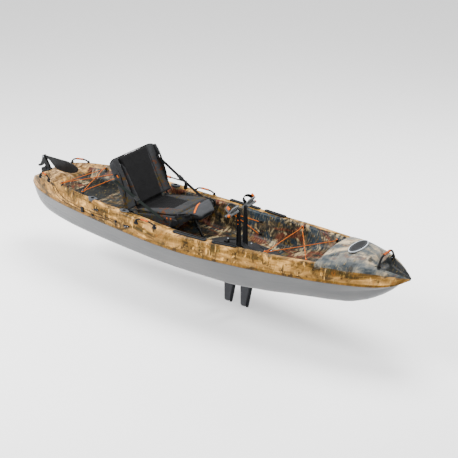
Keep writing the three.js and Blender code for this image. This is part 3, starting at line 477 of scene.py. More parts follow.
def woven(name, rgb, rgb_low, thread=0.0014, roughness=0.85, flecks=None):
    """Woven cloth: two sets of threads, a soft sheen and, if asked, flecks of a leaf pattern."""
    shader = Shader(name, linear(*rgb), roughness)
    place = shader.position()
    heights = []
    for turn in ((0, 0, 0.785), (0, 0, -0.785)):
        wave = shader.add("ShaderNodeTexWave", Vector=shader.scaled(place, (1, 1, 1), turn=turn),
                          Scale=wave_scale(thread), Distortion=0.6)
        heights.append(wave.outputs["Fac"])
    weave = shader.math("MULTIPLY", *heights)
    worn = shader.noise(place, 14, 4)
    tone = shader.average(worn, weave, 0.35)
    color = shader.ramp(tone, [(0.2, linear(*rgb_low)), (0.6, linear(*rgb))])
    if flecks:
        patch = shader.noise(shader.scaled(place, (1, 1, 1.6)), 13, 3, 0.6, 1.4)
        kind = shader.noise(place, 7, 2)
        leaf = shader.ramp(kind, [(0.42, linear(*flecks[0])), (0.58, linear(*flecks[1]))])
        where = shader.attribute("flecks", "Fac")
        amount = shader.math("MULTIPLY", shader.remap(patch, 0.545, 0.60), where, clamp=True)
        color = shader.mix(amount, color, leaf)
    shader.color(color)
    shader.principled.inputs["Sheen Weight"].default_value = 0.015
    shader.principled.inputs["Specular IOR Level"].default_value = 0.05
    shader.principled.inputs["Sheen Roughness"].default_value = 0.5
    shader.bump(weave, 0.5, 0.0005)
    return shader.material


def braided(name, rgb, rgb_fleck, pitch=0.004):
    """Cord with a second colour in its braid."""
    shader = Shader(name, linear(*rgb), 0.6)
    wave = shader.add("ShaderNodeTexWave", Vector=shader.scaled(shader.position(), (1, 1, 1)),
                      Scale=wave_scale(pitch), Distortion=1.0)
    wave.bands_direction = "DIAGONAL"
    shader.color(shader.ramp(wave.outputs["Fac"], [(0.15, linear(*rgb_fleck)), (0.5, linear(*rgb))]))
    shader.bump(wave.outputs["Fac"], 0.5, 0.0006)
    return shader.material


def camouflage(name):
    """Bark-and-reed camouflage, with painted shade: near-black in the deck's hollows, and a black painted
    shadow line under the bow step's edge. `flow` runs along the hull and round its section, and the zone
    attributes say how much of each palette, and of the painted shade, shows."""
    shader = Shader(name, linear(160, 130, 90), 0.42)
    flow = shader.attribute("flow")
    split = shader.add("ShaderNodeSeparateColor", Color=shader.attribute("zone", "Color"))
    split_shade_and_band = shader.add("ShaderNodeSeparateColor", Color=shader.attribute("zone_shade_and_band", "Color"))
    inside, bow, stern = (split.outputs[k] for k in range(3))
    # Painted shade: dark is how much near-black shade shows in the hollows, and line is a black painted
    # shadow line under the bow step's edge. band is the real ochre band low on the side.
    dark, band, line = (split_shade_and_band.outputs[k] for k in range(3))

    def field(scale, place=(0, 0, 0), turn=0.0, detail=4, roughness=0.6, distortion=0.6):
        vector = shader.scaled(flow, (*scale, 1), place, (0, 0, turn))
        return shader.noise(vector, 1.0, detail, roughness, distortion)

    broad = field((3.2, 5.0), distortion=1.0)
    clumps = field((4.6, 7.0), (5.3, 2.1, 0), distortion=1.2)
    patches = field((7.5, 11.0), (3.1, 1.7, 0), distortion=1.6)
    reeds = field((19, 6.5), (1.9, 0.4, 0), 0.80, 5, 0.64, 0.9)
    streaks = field((3.4, 17), (4.4, 9.2, 0), 0.16, 5, 0.62, 0.8)
    leaves = field((30, 7.5), (7.7, 3.3, 0), -0.34, 5, 0.62, 0.8)
    fine = field((110, 20), (2.2, 8.1, 0), 0.12, 4, 0.6, 0.4)

    def painted(color, where, amount, coat):
        return shader.mix(shader.math("MULTIPLY", where, amount), color, coat)

    def reed_mask(strokes, low, high, clump, clump_low, clump_high):
        clumped = shader.remap(clump, clump_low, clump_high)
        return shader.math("MULTIPLY", shader.remap(strokes, low, high), clumped)

    side = shader.ramp(shader.average(broad, streaks, 0.45), [
        (0.41, linear(88, 68, 26)), (0.455, linear(142, 112, 48)), (0.50, linear(172, 144, 80)),
        (0.545, linear(196, 174, 116)), (0.60, linear(216, 200, 154))])
    side = painted(side, shader.remap(broad, 0.45, 0.38), 0.55, linear(96, 82, 40))
    side = painted(side, reed_mask(streaks, 0.54, 0.61, clumps, 0.44, 0.52), 0.85, linear(66, 50, 24))
    side = painted(side, reed_mask(reeds, 0.50, 0.58, clumps, 0.48, 0.55), 0.85, linear(50, 38, 16))
    side = painted(side, reed_mask(leaves, 0.54, 0.62, patches, 0.46, 0.56), 0.55, linear(236, 216, 176))
    side = painted(side, reed_mask(reeds, 0.42, 0.34, patches, 0.52, 0.44), 0.60, linear(176, 128, 40))

    inner = shader.ramp(shader.average(patches, leaves, 0.40), [
        (0.32, linear(14, 15, 15)), (0.42, linear(40, 42, 40)), (0.50, linear(78, 72, 60)),
        (0.57, linear(122, 108, 86)), (0.66, linear(182, 168, 140))])
    inner = painted(inner, shader.remap(broad, 0.52, 0.57), 0.85, shader.ramp(fine, [
        (0.35, linear(74, 40, 30)), (0.65, linear(146, 92, 70))]))
    inner = painted(inner, shader.remap(broad, 0.48, 0.42), 0.78, shader.ramp(fine, [
        (0.35, linear(22, 36, 46)), (0.65, linear(74, 98, 112))]))
    inner = painted(inner, reed_mask(clumps, 0.55, 0.61, leaves, 0.44, 0.54), 0.75, linear(200, 192, 170))
    inner = painted(inner, reed_mask(clumps, 0.44, 0.38, leaves, 0.46, 0.56), 0.75, linear(146, 122, 50))
    inner = painted(inner, reed_mask(reeds, 0.54, 0.62, patches, 0.40, 0.50), 0.70, linear(16, 16, 15))
    inner = painted(inner, reed_mask(leaves, 0.56, 0.64, clumps, 0.46, 0.54), 0.60, linear(186, 174, 148))

    front = shader.ramp(shader.average(clumps, leaves, 0.25), [
        (0.34, linear(64, 70, 74)), (0.44, linear(116, 122, 124)), (0.52, linear(158, 156, 148)),
        (0.64, linear(206, 198, 182))])
    front = painted(front, shader.remap(patches, 0.55, 0.63), 0.60, linear(64, 76, 84))
    front = painted(front, reed_mask(reeds, 0.54, 0.62, patches, 0.42, 0.52), 0.70, linear(58, 54, 50))
    front = painted(front, shader.remap(broad, 0.56, 0.62), 0.55, linear(132, 92, 72))

    back = shader.ramp(shader.average(patches, leaves, 0.40), [
        (0.34, linear(70, 58, 38)), (0.43, linear(136, 106, 66)), (0.52, linear(180, 160, 122)),
        (0.62, linear(220, 208, 182))])
    back = painted(back, reed_mask(reeds, 0.52, 0.60, clumps, 0.44, 0.54), 0.70, linear(52, 46, 38))
    # Painted shade: the near-black colour laid in the bow recess and on the stern well's floor.
    hollow_shade_colour = shader.ramp(shader.average(patches, leaves, 0.4), [
        (0.35, linear(8, 10, 11)), (0.65, linear(40, 46, 48))])
    low = shader.ramp(shader.average(broad, reeds, 0.6), [
        (0.34, linear(78, 62, 20)), (0.44, linear(138, 108, 34)), (0.56, linear(176, 144, 60))])
    low = painted(low, reed_mask(clumps, 0.51, 0.57, reeds, 0.40, 0.50), 0.85, linear(48, 38, 16))

    def edge(amount, wobble):
        centred = shader.math("SUBTRACT", patches, 0.5)
        moved = shader.math("ADD", amount, shader.math("MULTIPLY", centred, wobble))
        return shader.remap(moved, 0.36, 0.64)

    color = shader.mix(edge(inside, 1.2), side, inner)
    color = shader.mix(edge(stern, 1.2), color, back)
    color = shader.mix(edge(bow, 1.0), color, front)
    # Painted shade in the hollows.
    color = shader.mix(edge(dark, 0.5), color, hollow_shade_colour)
    color = shader.mix(edge(band, 0.6), color, low)
    color = painted(color, shader.remap(fine, 0.58, 0.70), 0.16, linear(236, 222, 190))
    color = painted(color, shader.remap(fine, 0.42, 0.30), 0.22, linear(30, 24, 16))
    # Painted shadow: a black line on the wall and floor under the bow step's edge.
    color = shader.mix(line, color, linear(14, 14, 14))
    shader.color(color)
    shader.rough(shader.remap(fine, 0.3, 0.7, 0.36, 0.5))
    shader.principled.inputs["Coat Weight"].default_value = 0.03
    shader.principled.inputs["Specular IOR Level"].default_value = 0.08
    shader.principled.inputs["Coat Roughness"].default_value = 0.3
    shader.bump(shader.noise(shader.position(), 420, 2), 0.15, 0.0005)
    return shader.material


def hull_plastic(name):
    """Light grey plastic with long faint scuffs."""
    shader = Shader(name, linear(172, 173, 173), 0.34)
    place = shader.position()
    drift = shader.noise(shader.scaled(place, (1, 3, 3)), 2.4, 3)
    shader.color(shader.ramp(drift, [(0.3, linear(148, 149, 150)), (0.7, linear(158, 158, 158))]))
    scuffs = shader.noise(shader.scaled(place, (2, 20, 20)), 6, 5, 0.6)
    shader.rough(shader.remap(scuffs, 0.35, 0.7, 0.30, 0.44))
    shader.bump(shader.noise(place, 500, 2), 0.08, 0.0004)
    return shader.material


# ---------------------------------------------------------------- the two moulded shells
# x, half beam at the seam, seam height, shoulder height, lip y and z, floor edge y and z, crown
BEAM, SEAM, SHOULDER, LIP_Y, LIP_Z, EDGE_Y, EDGE_Z, CROWN = range(1, 9)
DECK_STATIONS = np.array([
    [-1815, 112, 226, 280, 84, 279, 58, 279, 279],
    [-1760, 150, 224, 312, 112, 309, 78, 309, 310],
    [-1680, 196, 222, 345, 150, 338, 104, 336, 337],
    [-1570, 240, 221, 371, 186, 347, 132, 342, 344],
    [-1440, 278, 219, 389, 214, 344, 156, 336, 339],
    [-1390, 291, 219, 394, 228, 340, 182, 270, 268],
    [-1200, 331, 218, 401, 268, 338, 218, 258, 256],
    [-975, 363, 214, 396, 296, 340, 240, 256, 254],
    [-780, 383, 207, 383, 302, 345, 246, 256, 254],
    [-690, 391, 204, 375, 304, 343, 250, 214, 210],
    [-480, 406, 197, 359, 306, 342, 256, 192, 188],
    [-150, 425, 187, 340, 322, 333, 266, 152, 148],
    [60, 430, 186, 337, 336, 332, 270, 119, 118],
    [690, 388, 205, 351, 314, 342, 256, 118, 118],
    [850, 372, 214, 359, 300, 350, 244, 152, 148],
    [1000, 354, 223, 366, 284, 356, 226, 214, 208],
    [1180, 329, 233, 374, 258, 366, 198, 250, 246],
    [1288, 311, 239, 379, 243, 372, 184, 262, 258],
    [1314, 306, 240, 381, 232, 398, 122, 424, 430],
    [1420, 284, 246, 386, 212, 420, 112, 451, 458],
    [1530, 254, 251, 389, 182, 427, 98, 459, 466],
    [1650, 216, 257, 390, 136, 421, 82, 446, 452],
    [1700, 196, 260, 387, 122, 411, 74, 400, 400],
    [1760, 168, 264, 379, 104, 399, 62, 356, 354],
    [1850, 112, 276, 359, 66, 372, 38, 340, 338],
    [1910, 62, 296, 342, 33, 347, 17, 333, 332],
    [1950, 16, 317, 328, 9, 329, 5, 326, 326],
], float)
# x, bottom height, chine height, chine y as a share of the half beam, half width of the flat bottom
HULL_STATIONS = np.array([
    [-1815, 180, 192, 0.90, 40], [-1733, 96, 142, 0.92, 58], [-1640, 24, 112, 0.93, 70],
    [-1540, 0, 96, 0.93, 100], [-1400, 0, 84, 0.93, 140], [-1100, 0, 74, 0.94, 205],
    [-700, 0, 66, 0.95, 262], [0, 0, 60, 0.96, 330], [500, 0, 66, 0.96, 328],
    [850, 0, 90, 0.95, 240], [1100, 0, 122, 0.93, 120], [1300, 0, 150, 0.90, 45],
    [1480, 12, 172, 0.84, 14], [1630, 66, 198, 0.76, 9], [1737, 132, 220, 0.68, 6],
    [1813, 194, 244, 0.60, 5], [1885, 268, 279, 0.50, 4], [1950, 309, 312, 0.50, 3],
], float)
STERN_X, BOW_X = -1815, 1950
TUMBLE = 18
FILLETS = (30, 16, 44)              # shoulder, lip and floor radii
WELL = {"x": (250, 610), "half": 38}
STEP_X = 12                         # spacing of the fine mesh along the hull
SCOOP = {"x": -250, "y": 432, "z": 326, "size": (92, 44, 34)}
HOLDERS = {"rear": (-871, 335), "front": (-516, 342)}
HOLDER_HOLE = 22.5
DECK_SKIN, HULL_SKIN = 0.005, 0.006
CHINE_RUN = 18                      # steps of a hull section from the seam to the chine
SIDE_GROOVES = ((2.2, 0.60, 0.045), (1.6, 0.80, 0.04))   # depth, share of the way down, width
RIM_OUT = 4.0                       # how far the deck's rim stands out over the seam


def fair(stations, column, x):
    """Reads a station table at x on a smooth curve with no overshoot."""
    xs, ys = stations[:, 0], stations[:, column]
    at = min(max(x, xs[0]), xs[-1])
    k = min(int(np.searchsorted(xs, at, side="right")) - 1, len(xs) - 2)
    rise = np.diff(ys) / np.diff(xs)

    def slope(j):
        if j == 0:
            return rise[0]
        if j == len(xs) - 1:
            return rise[-1]
        a, b = rise[j - 1], rise[j]
        return 0.0 if a * b <= 0 else 2 * a * b / (a + b)

    width = xs[k + 1] - xs[k]
    t = (at - xs[k]) / width
    t2, t3 = t * t, t * t * t
    return ((2 * t3 - 3 * t2 + 1) * ys[k] + (t3 - 2 * t2 + t) * width * slope(k)
            + (3 * t2 - 2 * t3) * ys[k + 1] + (t3 - t2) * width * slope(k + 1))


def between(a, b, count):
    """Points after a up to and including b."""
    return [a + (b - a) * (k + 1) / count for k in range(count)]


def fillet(before, corner, after, radius, count):
    """The arc at a corner: its start, and its points up to its end."""
    into, away = before - corner, after - corner
    reach = min(radius, np.linalg.norm(into) * 0.4, np.linalg.norm(away) * 0.4)
    p = corner + into / np.linalg.norm(into) * reach
    q = corner + away / np.linalg.norm(away) * reach
    return [p * (1 - t) ** 2 + corner * 2 * t * (1 - t) + q * t * t for t in np.linspace(0, 1, count + 1)]


SIDE_RUN, TOP_RUN, WALL_RUN, FLOOR_RUN = 9, 7, 10, 9
ARC_RUN = (8, 6, 8)


def deck_half(x):
    """Half of the deck's section at x, from the seam to the centreline, and the run each point is on."""
    beam, seam, shoulder, lip_y, lip_z, floor_y, floor_z, crown = (
        fair(DECK_STATIONS, column, x) for column in range(BEAM, CROWN + 1))
    tumble = min(TUMBLE, beam * 0.25)
    corners = [np.array(p, float) for p in (
        (beam, seam + 0.4), (beam - tumble, shoulder), (lip_y, lip_z), (floor_y, floor_z), (0, crown))]
    side_arc, lip_arc, floor_arc = (
        fillet(*corners[i:i + 3], FILLETS[i], ARC_RUN[i]) for i in range(3))
    mid = np.array((beam - 1, seam + (shoulder - seam) * 0.45))
    points = [corners[0], *between(corners[0], mid, SIDE_RUN // 2 + 1)]
    points += between(mid, side_arc[0], SIDE_RUN // 2)
    kinds = ["side"] * len(points)
    slot_edge = min(WELL["half"], floor_y * 0.45)
    stop = floor_arc[-1] + (corners[4] - floor_arc[-1]) * (1 - slot_edge / floor_arc[-1][0])
    for kind, run in (("top", [*side_arc[1:], *between(side_arc[-1], lip_arc[0], TOP_RUN)]),
                      ("wall", [*lip_arc[1:], *between(lip_arc[-1], floor_arc[0], WALL_RUN)]),
                      ("floor", [*floor_arc[1:], *between(floor_arc[-1], stop, FLOOR_RUN),
                                 *between(stop, corners[4], 3)])):
        points += run
        kinds += [kind] * len(run)
    return np.array(points), kinds


def deck_z(x, y):
    """Height of the deck's top at (x, y), in millimetres."""
    half, _ = deck_half(x)
    heights = []
    for (y0, z0), (y1, z1) in zip(half, half[1:]):
        if min(y0, y1) <= abs(y) <= max(y0, y1):
            heights.append(z1 + (z0 - z1) * (abs(y) - y1) / (y0 - y1) if y0 != y1 else max(z0, z1))
    return max(heights)


def side_y(x, z):
    """How far out the deck's side stands at x and height z, in millimetres."""
    half, _ = deck_half(x)
    for (y0, z0), (y1, z1) in zip(half, half[1:]):
        if z0 <= z <= z1:
            return y0 + (y1 - y0) * (z - z0) / (z1 - z0)
    return half[0][0]


def off_deck(x, degrees_round, out):
    """A point off the shoulder's arc: 0 degrees is its side end and 90 its top end."""
    half, kinds = deck_half(x)
    i = kinds.index("top") + int(round(degrees_round / 90 * (ARC_RUN[0] - 1)))
    tangent = half[i + 1] - half[i - 1]
    normal = np.array((-tangent[1], tangent[0])) / np.linalg.norm(tangent)
    return half[i] + normal * math.copysign(out, normal[1])


def fine_stations():
    """Evenly spaced stations that include the well's ends and the table's bow step."""
    xs = {*np.arange(STERN_X, BOW_X, STEP_X).tolist(), BOW_X, *WELL["x"], 1288, 1294, 1301, 1308, 1314}
    xs = sorted(xs)
    return [x for i, x in enumerate(xs) if i == 0 or x - xs[i - 1] > 2.5 or x in WELL["x"]]


def weight(value, low, high):
    """0 below low, 1 above high, smooth between. Works with high below low too."""
    t = min(max((value - low) / (high - low), 0), 1)
    return t * t * (3 - 2 * t)


def deck_zones(x, y, kind, height_share):
    """How much of each camouflage palette shows at a point of the deck, and how much painted shade:
    near-black in the bow recess and on the stern well's floor, and a black painted shadow line under the
    bow step's edge.
    """
    off_side = kind != "side"
    inner = {"side": 0.0, "top": 0.38, "wall": 1.0, "floor": 0.85}[kind]
    inner *= weight(x, -1480, -1380) * weight(x, 1306, 1296)
    bow = weight(x, 1296, 1306) * (1.0 if off_side else height_share * 0.55)
    stern = weight(x, -1380, -1480) * off_side * 0.9
    lip = fair(DECK_STATIONS, LIP_Y, x)
    # Painted shade: near-black in the bow recess inside the lip, behind the bow handle, and on the stern
    # well's floor.
    bow_hollow_shade = weight(x, 1690, 1730) * off_side * weight(abs(y), lip + 14, lip - 4)
    stern_hollow_shade = 0.8 * weight(x, -1330, -1290) * weight(x, -960, -1010) * (kind == "floor")
    band = (not off_side) * weight(height_share, 0.24, 0.08)
    # Painted shadow: a black line on the wall and floor just under the bow step's edge.
    line = weight(abs(x - 1301), 9, 5) * (kind in ("wall", "floor")) * weight(y, -190, -110)
    return (inner, bow, stern), (max(bow_hollow_shade, stern_hollow_shade), band, line)


def set_attribute(mesh, name, values, kind="FLOAT_VECTOR"):
    """Gives each point of a mesh a vector, a color or a number."""
    attribute = mesh.attributes.new(name, kind, "POINT")
    key = {"FLOAT_VECTOR": "vector", "FLOAT_COLOR": "color", "FLOAT": "value"}[kind]
    attribute.data.foreach_set(key, np.array(values, np.float32).ravel())


def ring_grid(rings, count):
    """Faces that skin a run of open rings of count points, with a cap at each end."""
    faces = [(i * count + j, i * count + j + 1, (i + 1) * count + j + 1, (i + 1) * count + j)
             for i in range(rings - 1) for j in range(count - 1)]
    last = (rings - 1) * count
    return faces + [tuple(range(count)), tuple(reversed(range(last, last + count)))]


def both_sides(half):
    """(index, side) of each point of a whole section, from port round to starboard."""
    middle = len(half) - 1
    return [(i, 1) for i in range(middle + 1)] + [(i, -1) for i in reversed(range(middle))]


def over_well(points, face):
    """Whether a face lies over the drive's well."""
    low, high = (v * MM for v in WELL["x"])
    x, y = points[list(face), :2].mean(0)
    return low < x < high and abs(y) < WELL["half"] * MM


def holder_centres():
    return [np.array((x, y * side)) * MM for x, y in HOLDERS.values() for _, side in SIDES]


def over_holder(points, face):
    """Whether a face of the deck's top lies over a rod holder's mouth."""
    middle = points[list(face), :2].mean(0)
    reach = (HOLDER_HOLE - 0.5) * MM
    on_top = points[face[0]][2] > 0.3
    return on_top and any(np.linalg.norm(middle - centre) < reach for centre in holder_centres())


def scooped(x, y, z):
    """y with the hand scoop of the side pressed in. Millimetres."""
    dx, dz = (x - SCOOP["x"]) / SCOOP["size"][0], (z - SCOOP["z"]) / SCOOP["size"][2]
    if dx * dx + dz * dz >= 1 or abs(y) <= 330:
        return y
    reach = SCOOP["y"] - SCOOP["size"][1] * math.sqrt(1 - dx * dx - dz * dz)
    return math.copysign(0.94 * reach + 0.06 * abs(y), y) if abs(y) > reach else y


def shell(name, points, faces, material, thickness):
    """A moulded shell: a smooth surface with its thickness inside it."""
    piece = mesh_object(name, points, faces, material, smooth=True)
    skin = piece.modifiers.new("skin", "SOLIDIFY")
    skin.thickness = thickness
    skin.offset = -1
    return piece


def make_deck(material):
    xs = fine_stations()
    points, flow, zones, more = [], [], [], []
    for x in xs:
        half, kinds = deck_half(x)
        seam, shoulder = half[0][1], fair(DECK_STATIONS, SHOULDER, x)
        lengths = np.concatenate(([0], np.cumsum(np.linalg.norm(np.diff(half, axis=0), axis=1))))
        rim_out = RIM_OUT * min(1, half[0][0] / 60)
        for i, side in both_sides(half):
            y, z = half[i]
            rim = weight(z - seam, 17, 12) * weight(lengths[i], -3, 3) * (kinds[i] == "side")
            y = scooped(x, (y + rim * rim_out) * side, z)
            points.append((x * MM, y * MM, z * MM))
            flow.append((x * MM, (lengths[i] * side + (1000 if side < 0 else 0)) * MM, 0))
            share = min(1, (z - seam) / max(shoulder - seam, 1))
            zone, zone_shade_and_band = deck_zones(x, y, kinds[i], share)
            zones.append((*zone, 1))
            more.append((*zone_shade_and_band, 1))
    points = np.array(points)
    for centre in holder_centres():
        offset = points[:, :2] - centre
        distance = np.linalg.norm(offset, axis=1)
        near = (np.abs(distance - HOLDER_HOLE * MM) < 6.5 * MM) & (points[:, 2] > 0.3)
        points[near, :2] = centre + offset[near] / distance[near, None] * HOLDER_HOLE * MM
    faces = [face for face in ring_grid(len(xs), len(points) // len(xs))
             if not over_well(points, face) and not over_holder(points, face)]
    deck = shell("deck", points, faces, material, DECK_SKIN)
    set_attribute(deck.data, "flow", flow)
    set_attribute(deck.data, "zone", zones, "FLOAT_COLOR")
    # The second set of zones: painted shade in the hollows, the painted shadow line under the bow step, and
    # the ochre band low on the side.
    set_attribute(deck.data, "zone_shade_and_band", more, "FLOAT_COLOR")
    return settle(deck, "kayak", ["deck_shell"])


def hull_half(x):
    """Half of the hull's section at x, from the seam down to the keel line."""
    beam, seam = fair(DECK_STATIONS, BEAM, x), fair(DECK_STATIONS, SEAM, x) - 0.4
    bottom, chine_z, share, flat = (fair(HULL_STATIONS, column, x) for column in range(1, 5))
    chine_y = beam * share
    edge, chine = np.array((beam, seam)), np.array((chine_y, chine_z))
    mid = np.array((beam - (beam - chine_y) * 0.42, (seam + chine_z) / 2))
    pull = 2 * mid - (edge + chine) / 2
    knee = np.array((flat + (chine_y - flat) * 0.8, bottom + (chine_z - bottom) * 0.14))
    keel = np.array((flat, bottom))
    slot = np.array((min(WELL["half"], flat * 0.6), bottom))

    def arc(start, control, end, count):
        return [start * (1 - t) ** 2 + control * 2 * t * (1 - t) + end * t * t
                for t in np.linspace(0, 1, count + 1)]

    upper, lower = arc(edge, pull, chine, CHINE_RUN), arc(chine, knee, keel, 12)
    rest = between(keel, slot, 8) + between(slot, np.array((0, bottom)), 3)
    return np.array([*upper, *lower[1:], *rest])


def make_hull(material):
    xs = fine_stations()
    points = []
    for x in xs:
        half = hull_half(x)
        seam, chine = half[0][1], half[CHINE_RUN][1]
        depth = weight(x, 1500, 1200) * weight(x, -1750, -1600)
        for i, side in both_sides(half):
            y, z = half[i]
            down = (seam - z) / max(seam - chine, 1)
            groove = sum(deep * math.exp(-((down - at) / wide) ** 2) for deep, at, wide in SIDE_GROOVES)
            y -= groove * (i <= CHINE_RUN) * depth
            points.append((x * MM, y * side * MM, z * MM))
    points = np.array(points)
    faces = [tuple(reversed(face)) for face in ring_grid(len(xs), len(points) // len(xs))
             if not over_well(points, face)]
    return settle(shell("hull", points, faces, material, HULL_SKIN), "kayak", ["hull_shell"])


# ---------------------------------------------------------------- materials in use
black = moulded("black_plastic", (30, 31, 33), 0.42)
rubber = moulded("black_rubber", (24, 24, 25), 0.62, 500, 0.4)
grey_plastic = moulded("grey_plastic", (104, 107, 113), 0.45)
plate_plastic = moulded("plate_plastic", (62, 62, 64), 0.5, 300, 0.6)
tread_plastic = moulded("tread_plastic", (150, 152, 153), 0.45)
fin_rubber = moulded("fin_rubber", (100, 101, 105), 0.4, 500, 0.15)
orange_plastic = moulded("orange_plastic", (206, 146, 26), 0.42)
pale_plastic = moulded("pale_plastic", (206, 208, 210), 0.4)
alloy = anodised("black_alloy", (44, 46, 49))
steel = anodised("steel", (196, 198, 202), 0.28)
orange_cord = braided("orange_cord", (206, 150, 26), (150, 100, 18))
black_cord = braided("black_line", (26, 27, 28), (62, 64, 66), 0.003)
FLECKS = ((92, 82, 40), (104, 68, 46))
cloth_dark = woven("cloth_dark", (38, 38, 39), (27, 27, 28))
cloth_base = woven("cloth_base", (24, 24, 25), (17, 17, 18))
cloth_side = woven("cloth_side", (80, 81, 83), (60, 61, 63), flecks=FLECKS)
cloth_nose = woven("cloth_nose", (96, 97, 100), (76, 77, 80), 0.0017)
webbing = woven("webbing_black", (22, 22, 23), (12, 12, 13), 0.0022)
webbing_green = woven("webbing_green", (36, 44, 40), (22, 27, 25), 0.0022)
webbing_grey = woven("webbing_grey", (140, 141, 142), (104, 105, 106), 0.0022)
piping = woven("piping", (26, 26, 27), (16, 16, 17), 0.0012)
orange_cloth = woven("orange_cloth", (208, 148, 28), (184, 126, 22), 0.0016)


# ---------------------------------------------------------------- cords
LINE_RADIUS = 0.0022
LINE_OFF_SIDE = 3.8                 # how far off the deck's side the rudder lines run
BUNGEE_RADIUS = 0.003
FRONT_POSTS = [(1192, -230, 347), (842, 272, 340), (846, -272, 331), (1188, 230, 334)]
REAR_POSTS = [(-1256, 260, 366), (-1266, -292, 408), (-968, 306, 392), (-990, -328, 408), (-1262, 256, 376)]
POST_TURN = 10
SIDE_BUNGEE = [(415, 266), (330, 266), (230, 266), (160, 267), (139, 262), (160, 254), (230, 232),
               (330, 200), (428, 168)]
UPPER_LINE = [(-1290, 312), (-1200, 284), (-1100, 274), (-993, 272, 371), (-941, 272, 371), (-880, 270),
              (-780, 272), (-680, 272), (-580, 271), (-500, 268), (-440, 264)]
LOWER_LINE = [(-1320, 282), (-1220, 256), (-1100, 249), (-993, 248, 371), (-941, 248, 371), (-880, 244),
              (-780, 247), (-680, 252), (-580, 256), (-500, 256), (-440, 254)]


def lacing(posts):
    """A cord laced from post to post round the far side of each inner one, as in the CAD source."""
    chain = [Vector(post) for post in posts]
    route = []
    for i, post in enumerate(chain):
        before = chain[i - 1] if i else None
        after = chain[i + 1] if i + 1 < len(chain) else None
        if before and after:
            out = post * 2 - before - after
            out.z = 0
            out.normalize()
            across = Vector((-out.y, out.x, 0))
            sign = 1 if across.dot(before - after) >= 0 else -1
            for degrees in (80, 40, 0, -40, -80):
                angle = math.radians(degrees)
                way = out * math.cos(angle) + across * sign * math.sin(angle)
                route.append(post + way * POST_TURN)
        else:
            route.append(post)
        if after:
            route += [post.lerp(after, t) for t in (0.06, 0.35, 0.65, 0.94)]
    return [point * MM for point in route]


def wall_y(x, z):
    """How far out the inner wall of the cockpit stands, in millimetres."""
    lip_y, lip_z, edge_y, edge_z = (fair(DECK_STATIONS, k, x) for k in (LIP_Y, LIP_Z, EDGE_Y, EDGE_Z))
    return edge_y + (lip_y - edge_y) * (z - edge_z) / (lip_z - edge_z)


def rudder_line(start, cross_x, side_run):
    """A line from the rudder's bracket over the starboard shoulder and along the side."""
    over = []
    for place, angle in enumerate((80, 45, 10)):
        x = cross_x + place * 14
        y, z = off_deck(x, angle, 5.3)
        over.append(Vector((x, -y, z)))
    along = []
    for x, z, *fixed in side_run:
        y = fixed[0] if fixed else side_y(x, z) + LINE_OFF_SIDE
        along.append(Vector((x, -y, z)))
    return [point * MM for point in (Vector(start), *over, *along)]


def make_cords():
    cords = [("front_bungee", lacing(FRONT_POSTS)), ("rear_bungee", lacing(REAR_POSTS))]
    for name, side in SIDES:
        run = [Vector((x, (wall_y(x, z) - 12) * side, z)) * MM for x, z in SIDE_BUNGEE]
        cords.append((f"side_bungee_{name}", run))
    lines = [("rudder_line_upper", rudder_line((-1702, -37, 362), -1420, UPPER_LINE)),
             ("rudder_line_lower", rudder_line((-1704, -37, 350), -1450, LOWER_LINE))]
    for group, radius, material, slot in ((cords, BUNGEE_RADIUS, orange_cord, "bungee"),
                                          (lines, LINE_RADIUS, black_cord, "webbing")):
        for node, route in group:
            cord = tube(f"{node}_cord", spline_points(route, 8), radius, material)
            settle(cord, "kayak", [node])


# ---------------------------------------------------------------- deck fittings
def screw(name, place, normal=(0, 0, 1), radius=0.0045, body="kayak", material=None):
    """A domed screw head."""
    profile = [(0, 0), (radius, 0), (radius * 0.92, radius * 0.35), (radius * 0.55, radius * 0.6),
               (0, radius * 0.62)]
    head = turned(name, profile, material or steel, 16)
    return settle(stand(head, place, normal), body)


def deck_post(name, x, y, z):
    """A stud on the deck that a bungee turns round. Millimetres."""
    ground = deck_z(x, y) - 3
    rise = max(z - ground, 8)
    post = turned_mm(name, [(0, 0), (15, 0), (15, 3), (9, 5.5), (6, 7), (6, rise - 7), (8.5, rise - 4),
                            (10, rise + 5), (9, rise + 8), (0, rise + 9)], black)
    stand(post, Vector((x, y, ground)) * MM)
    settle(post, "kayak")
    screw(f"{name}_screw", Vector((x, y, z + 8.5)) * MM, radius=0.004)


def wall_hook(name, x, y, z):
    """A hook that stands out of the inner wall below the lip, for a bungee. Millimetres."""
    side = 1 if y > 0 else -1
    wall = wall_y(x, z - 8) * side
    path = [(x, wall + 4 * side, z - 8), (x, y + 4 * side, z - 10), (x, y, z - 8), (x, y, z + 9)]
    hook = tube(f"{name}_bar", [Vector(p) * MM for p in bent_points(path, 5)], 0.0048, black, 5)
    ring = turned_mm(f"{name}_base", [(0, 0), (13, 0), (12, 4), (7, 6), (0, 6)], black)
    stand(ring, Vector((x, wall + 2 * side, z - 8)) * MM, (0, -side, 0.35))
    knob = turned_mm(f"{name}_knob", [(0, -3), (6.5, -2), (8, 1), (6, 4), (0, 5)], orange_plastic)
    stand(knob, Vector((x, y, z + 10)) * MM)
    settle(joined(name, [hook, ring, knob]), "kayak")


def make_bungee_fittings():
    for i, (x, y, z) in enumerate(FRONT_POSTS):
        wall_hook(f"front_hook_{i}", x, y, z)
    for i, (x, y, z) in enumerate(REAR_POSTS[:4]):
        deck_post(f"rear_post_{i}", x, y, z)
    profile = [(0, 0), (12, 0), (11, 4), (6, 6), (5, 14), (8, 16), (8, 19), (0, 20)]
    for name, side in SIDES:
        for i, (x, z) in enumerate((SIDE_BUNGEE[0], (146, 260), SIDE_BUNGEE[-1])):
            eye = turned_mm(f"side_eye_{i}_{name}", profile, black)
            stand(eye, Vector((x, (wall_y(x, z) + 1) * side, z)) * MM, (0, -side, 0.3))
            settle(eye, "kayak")


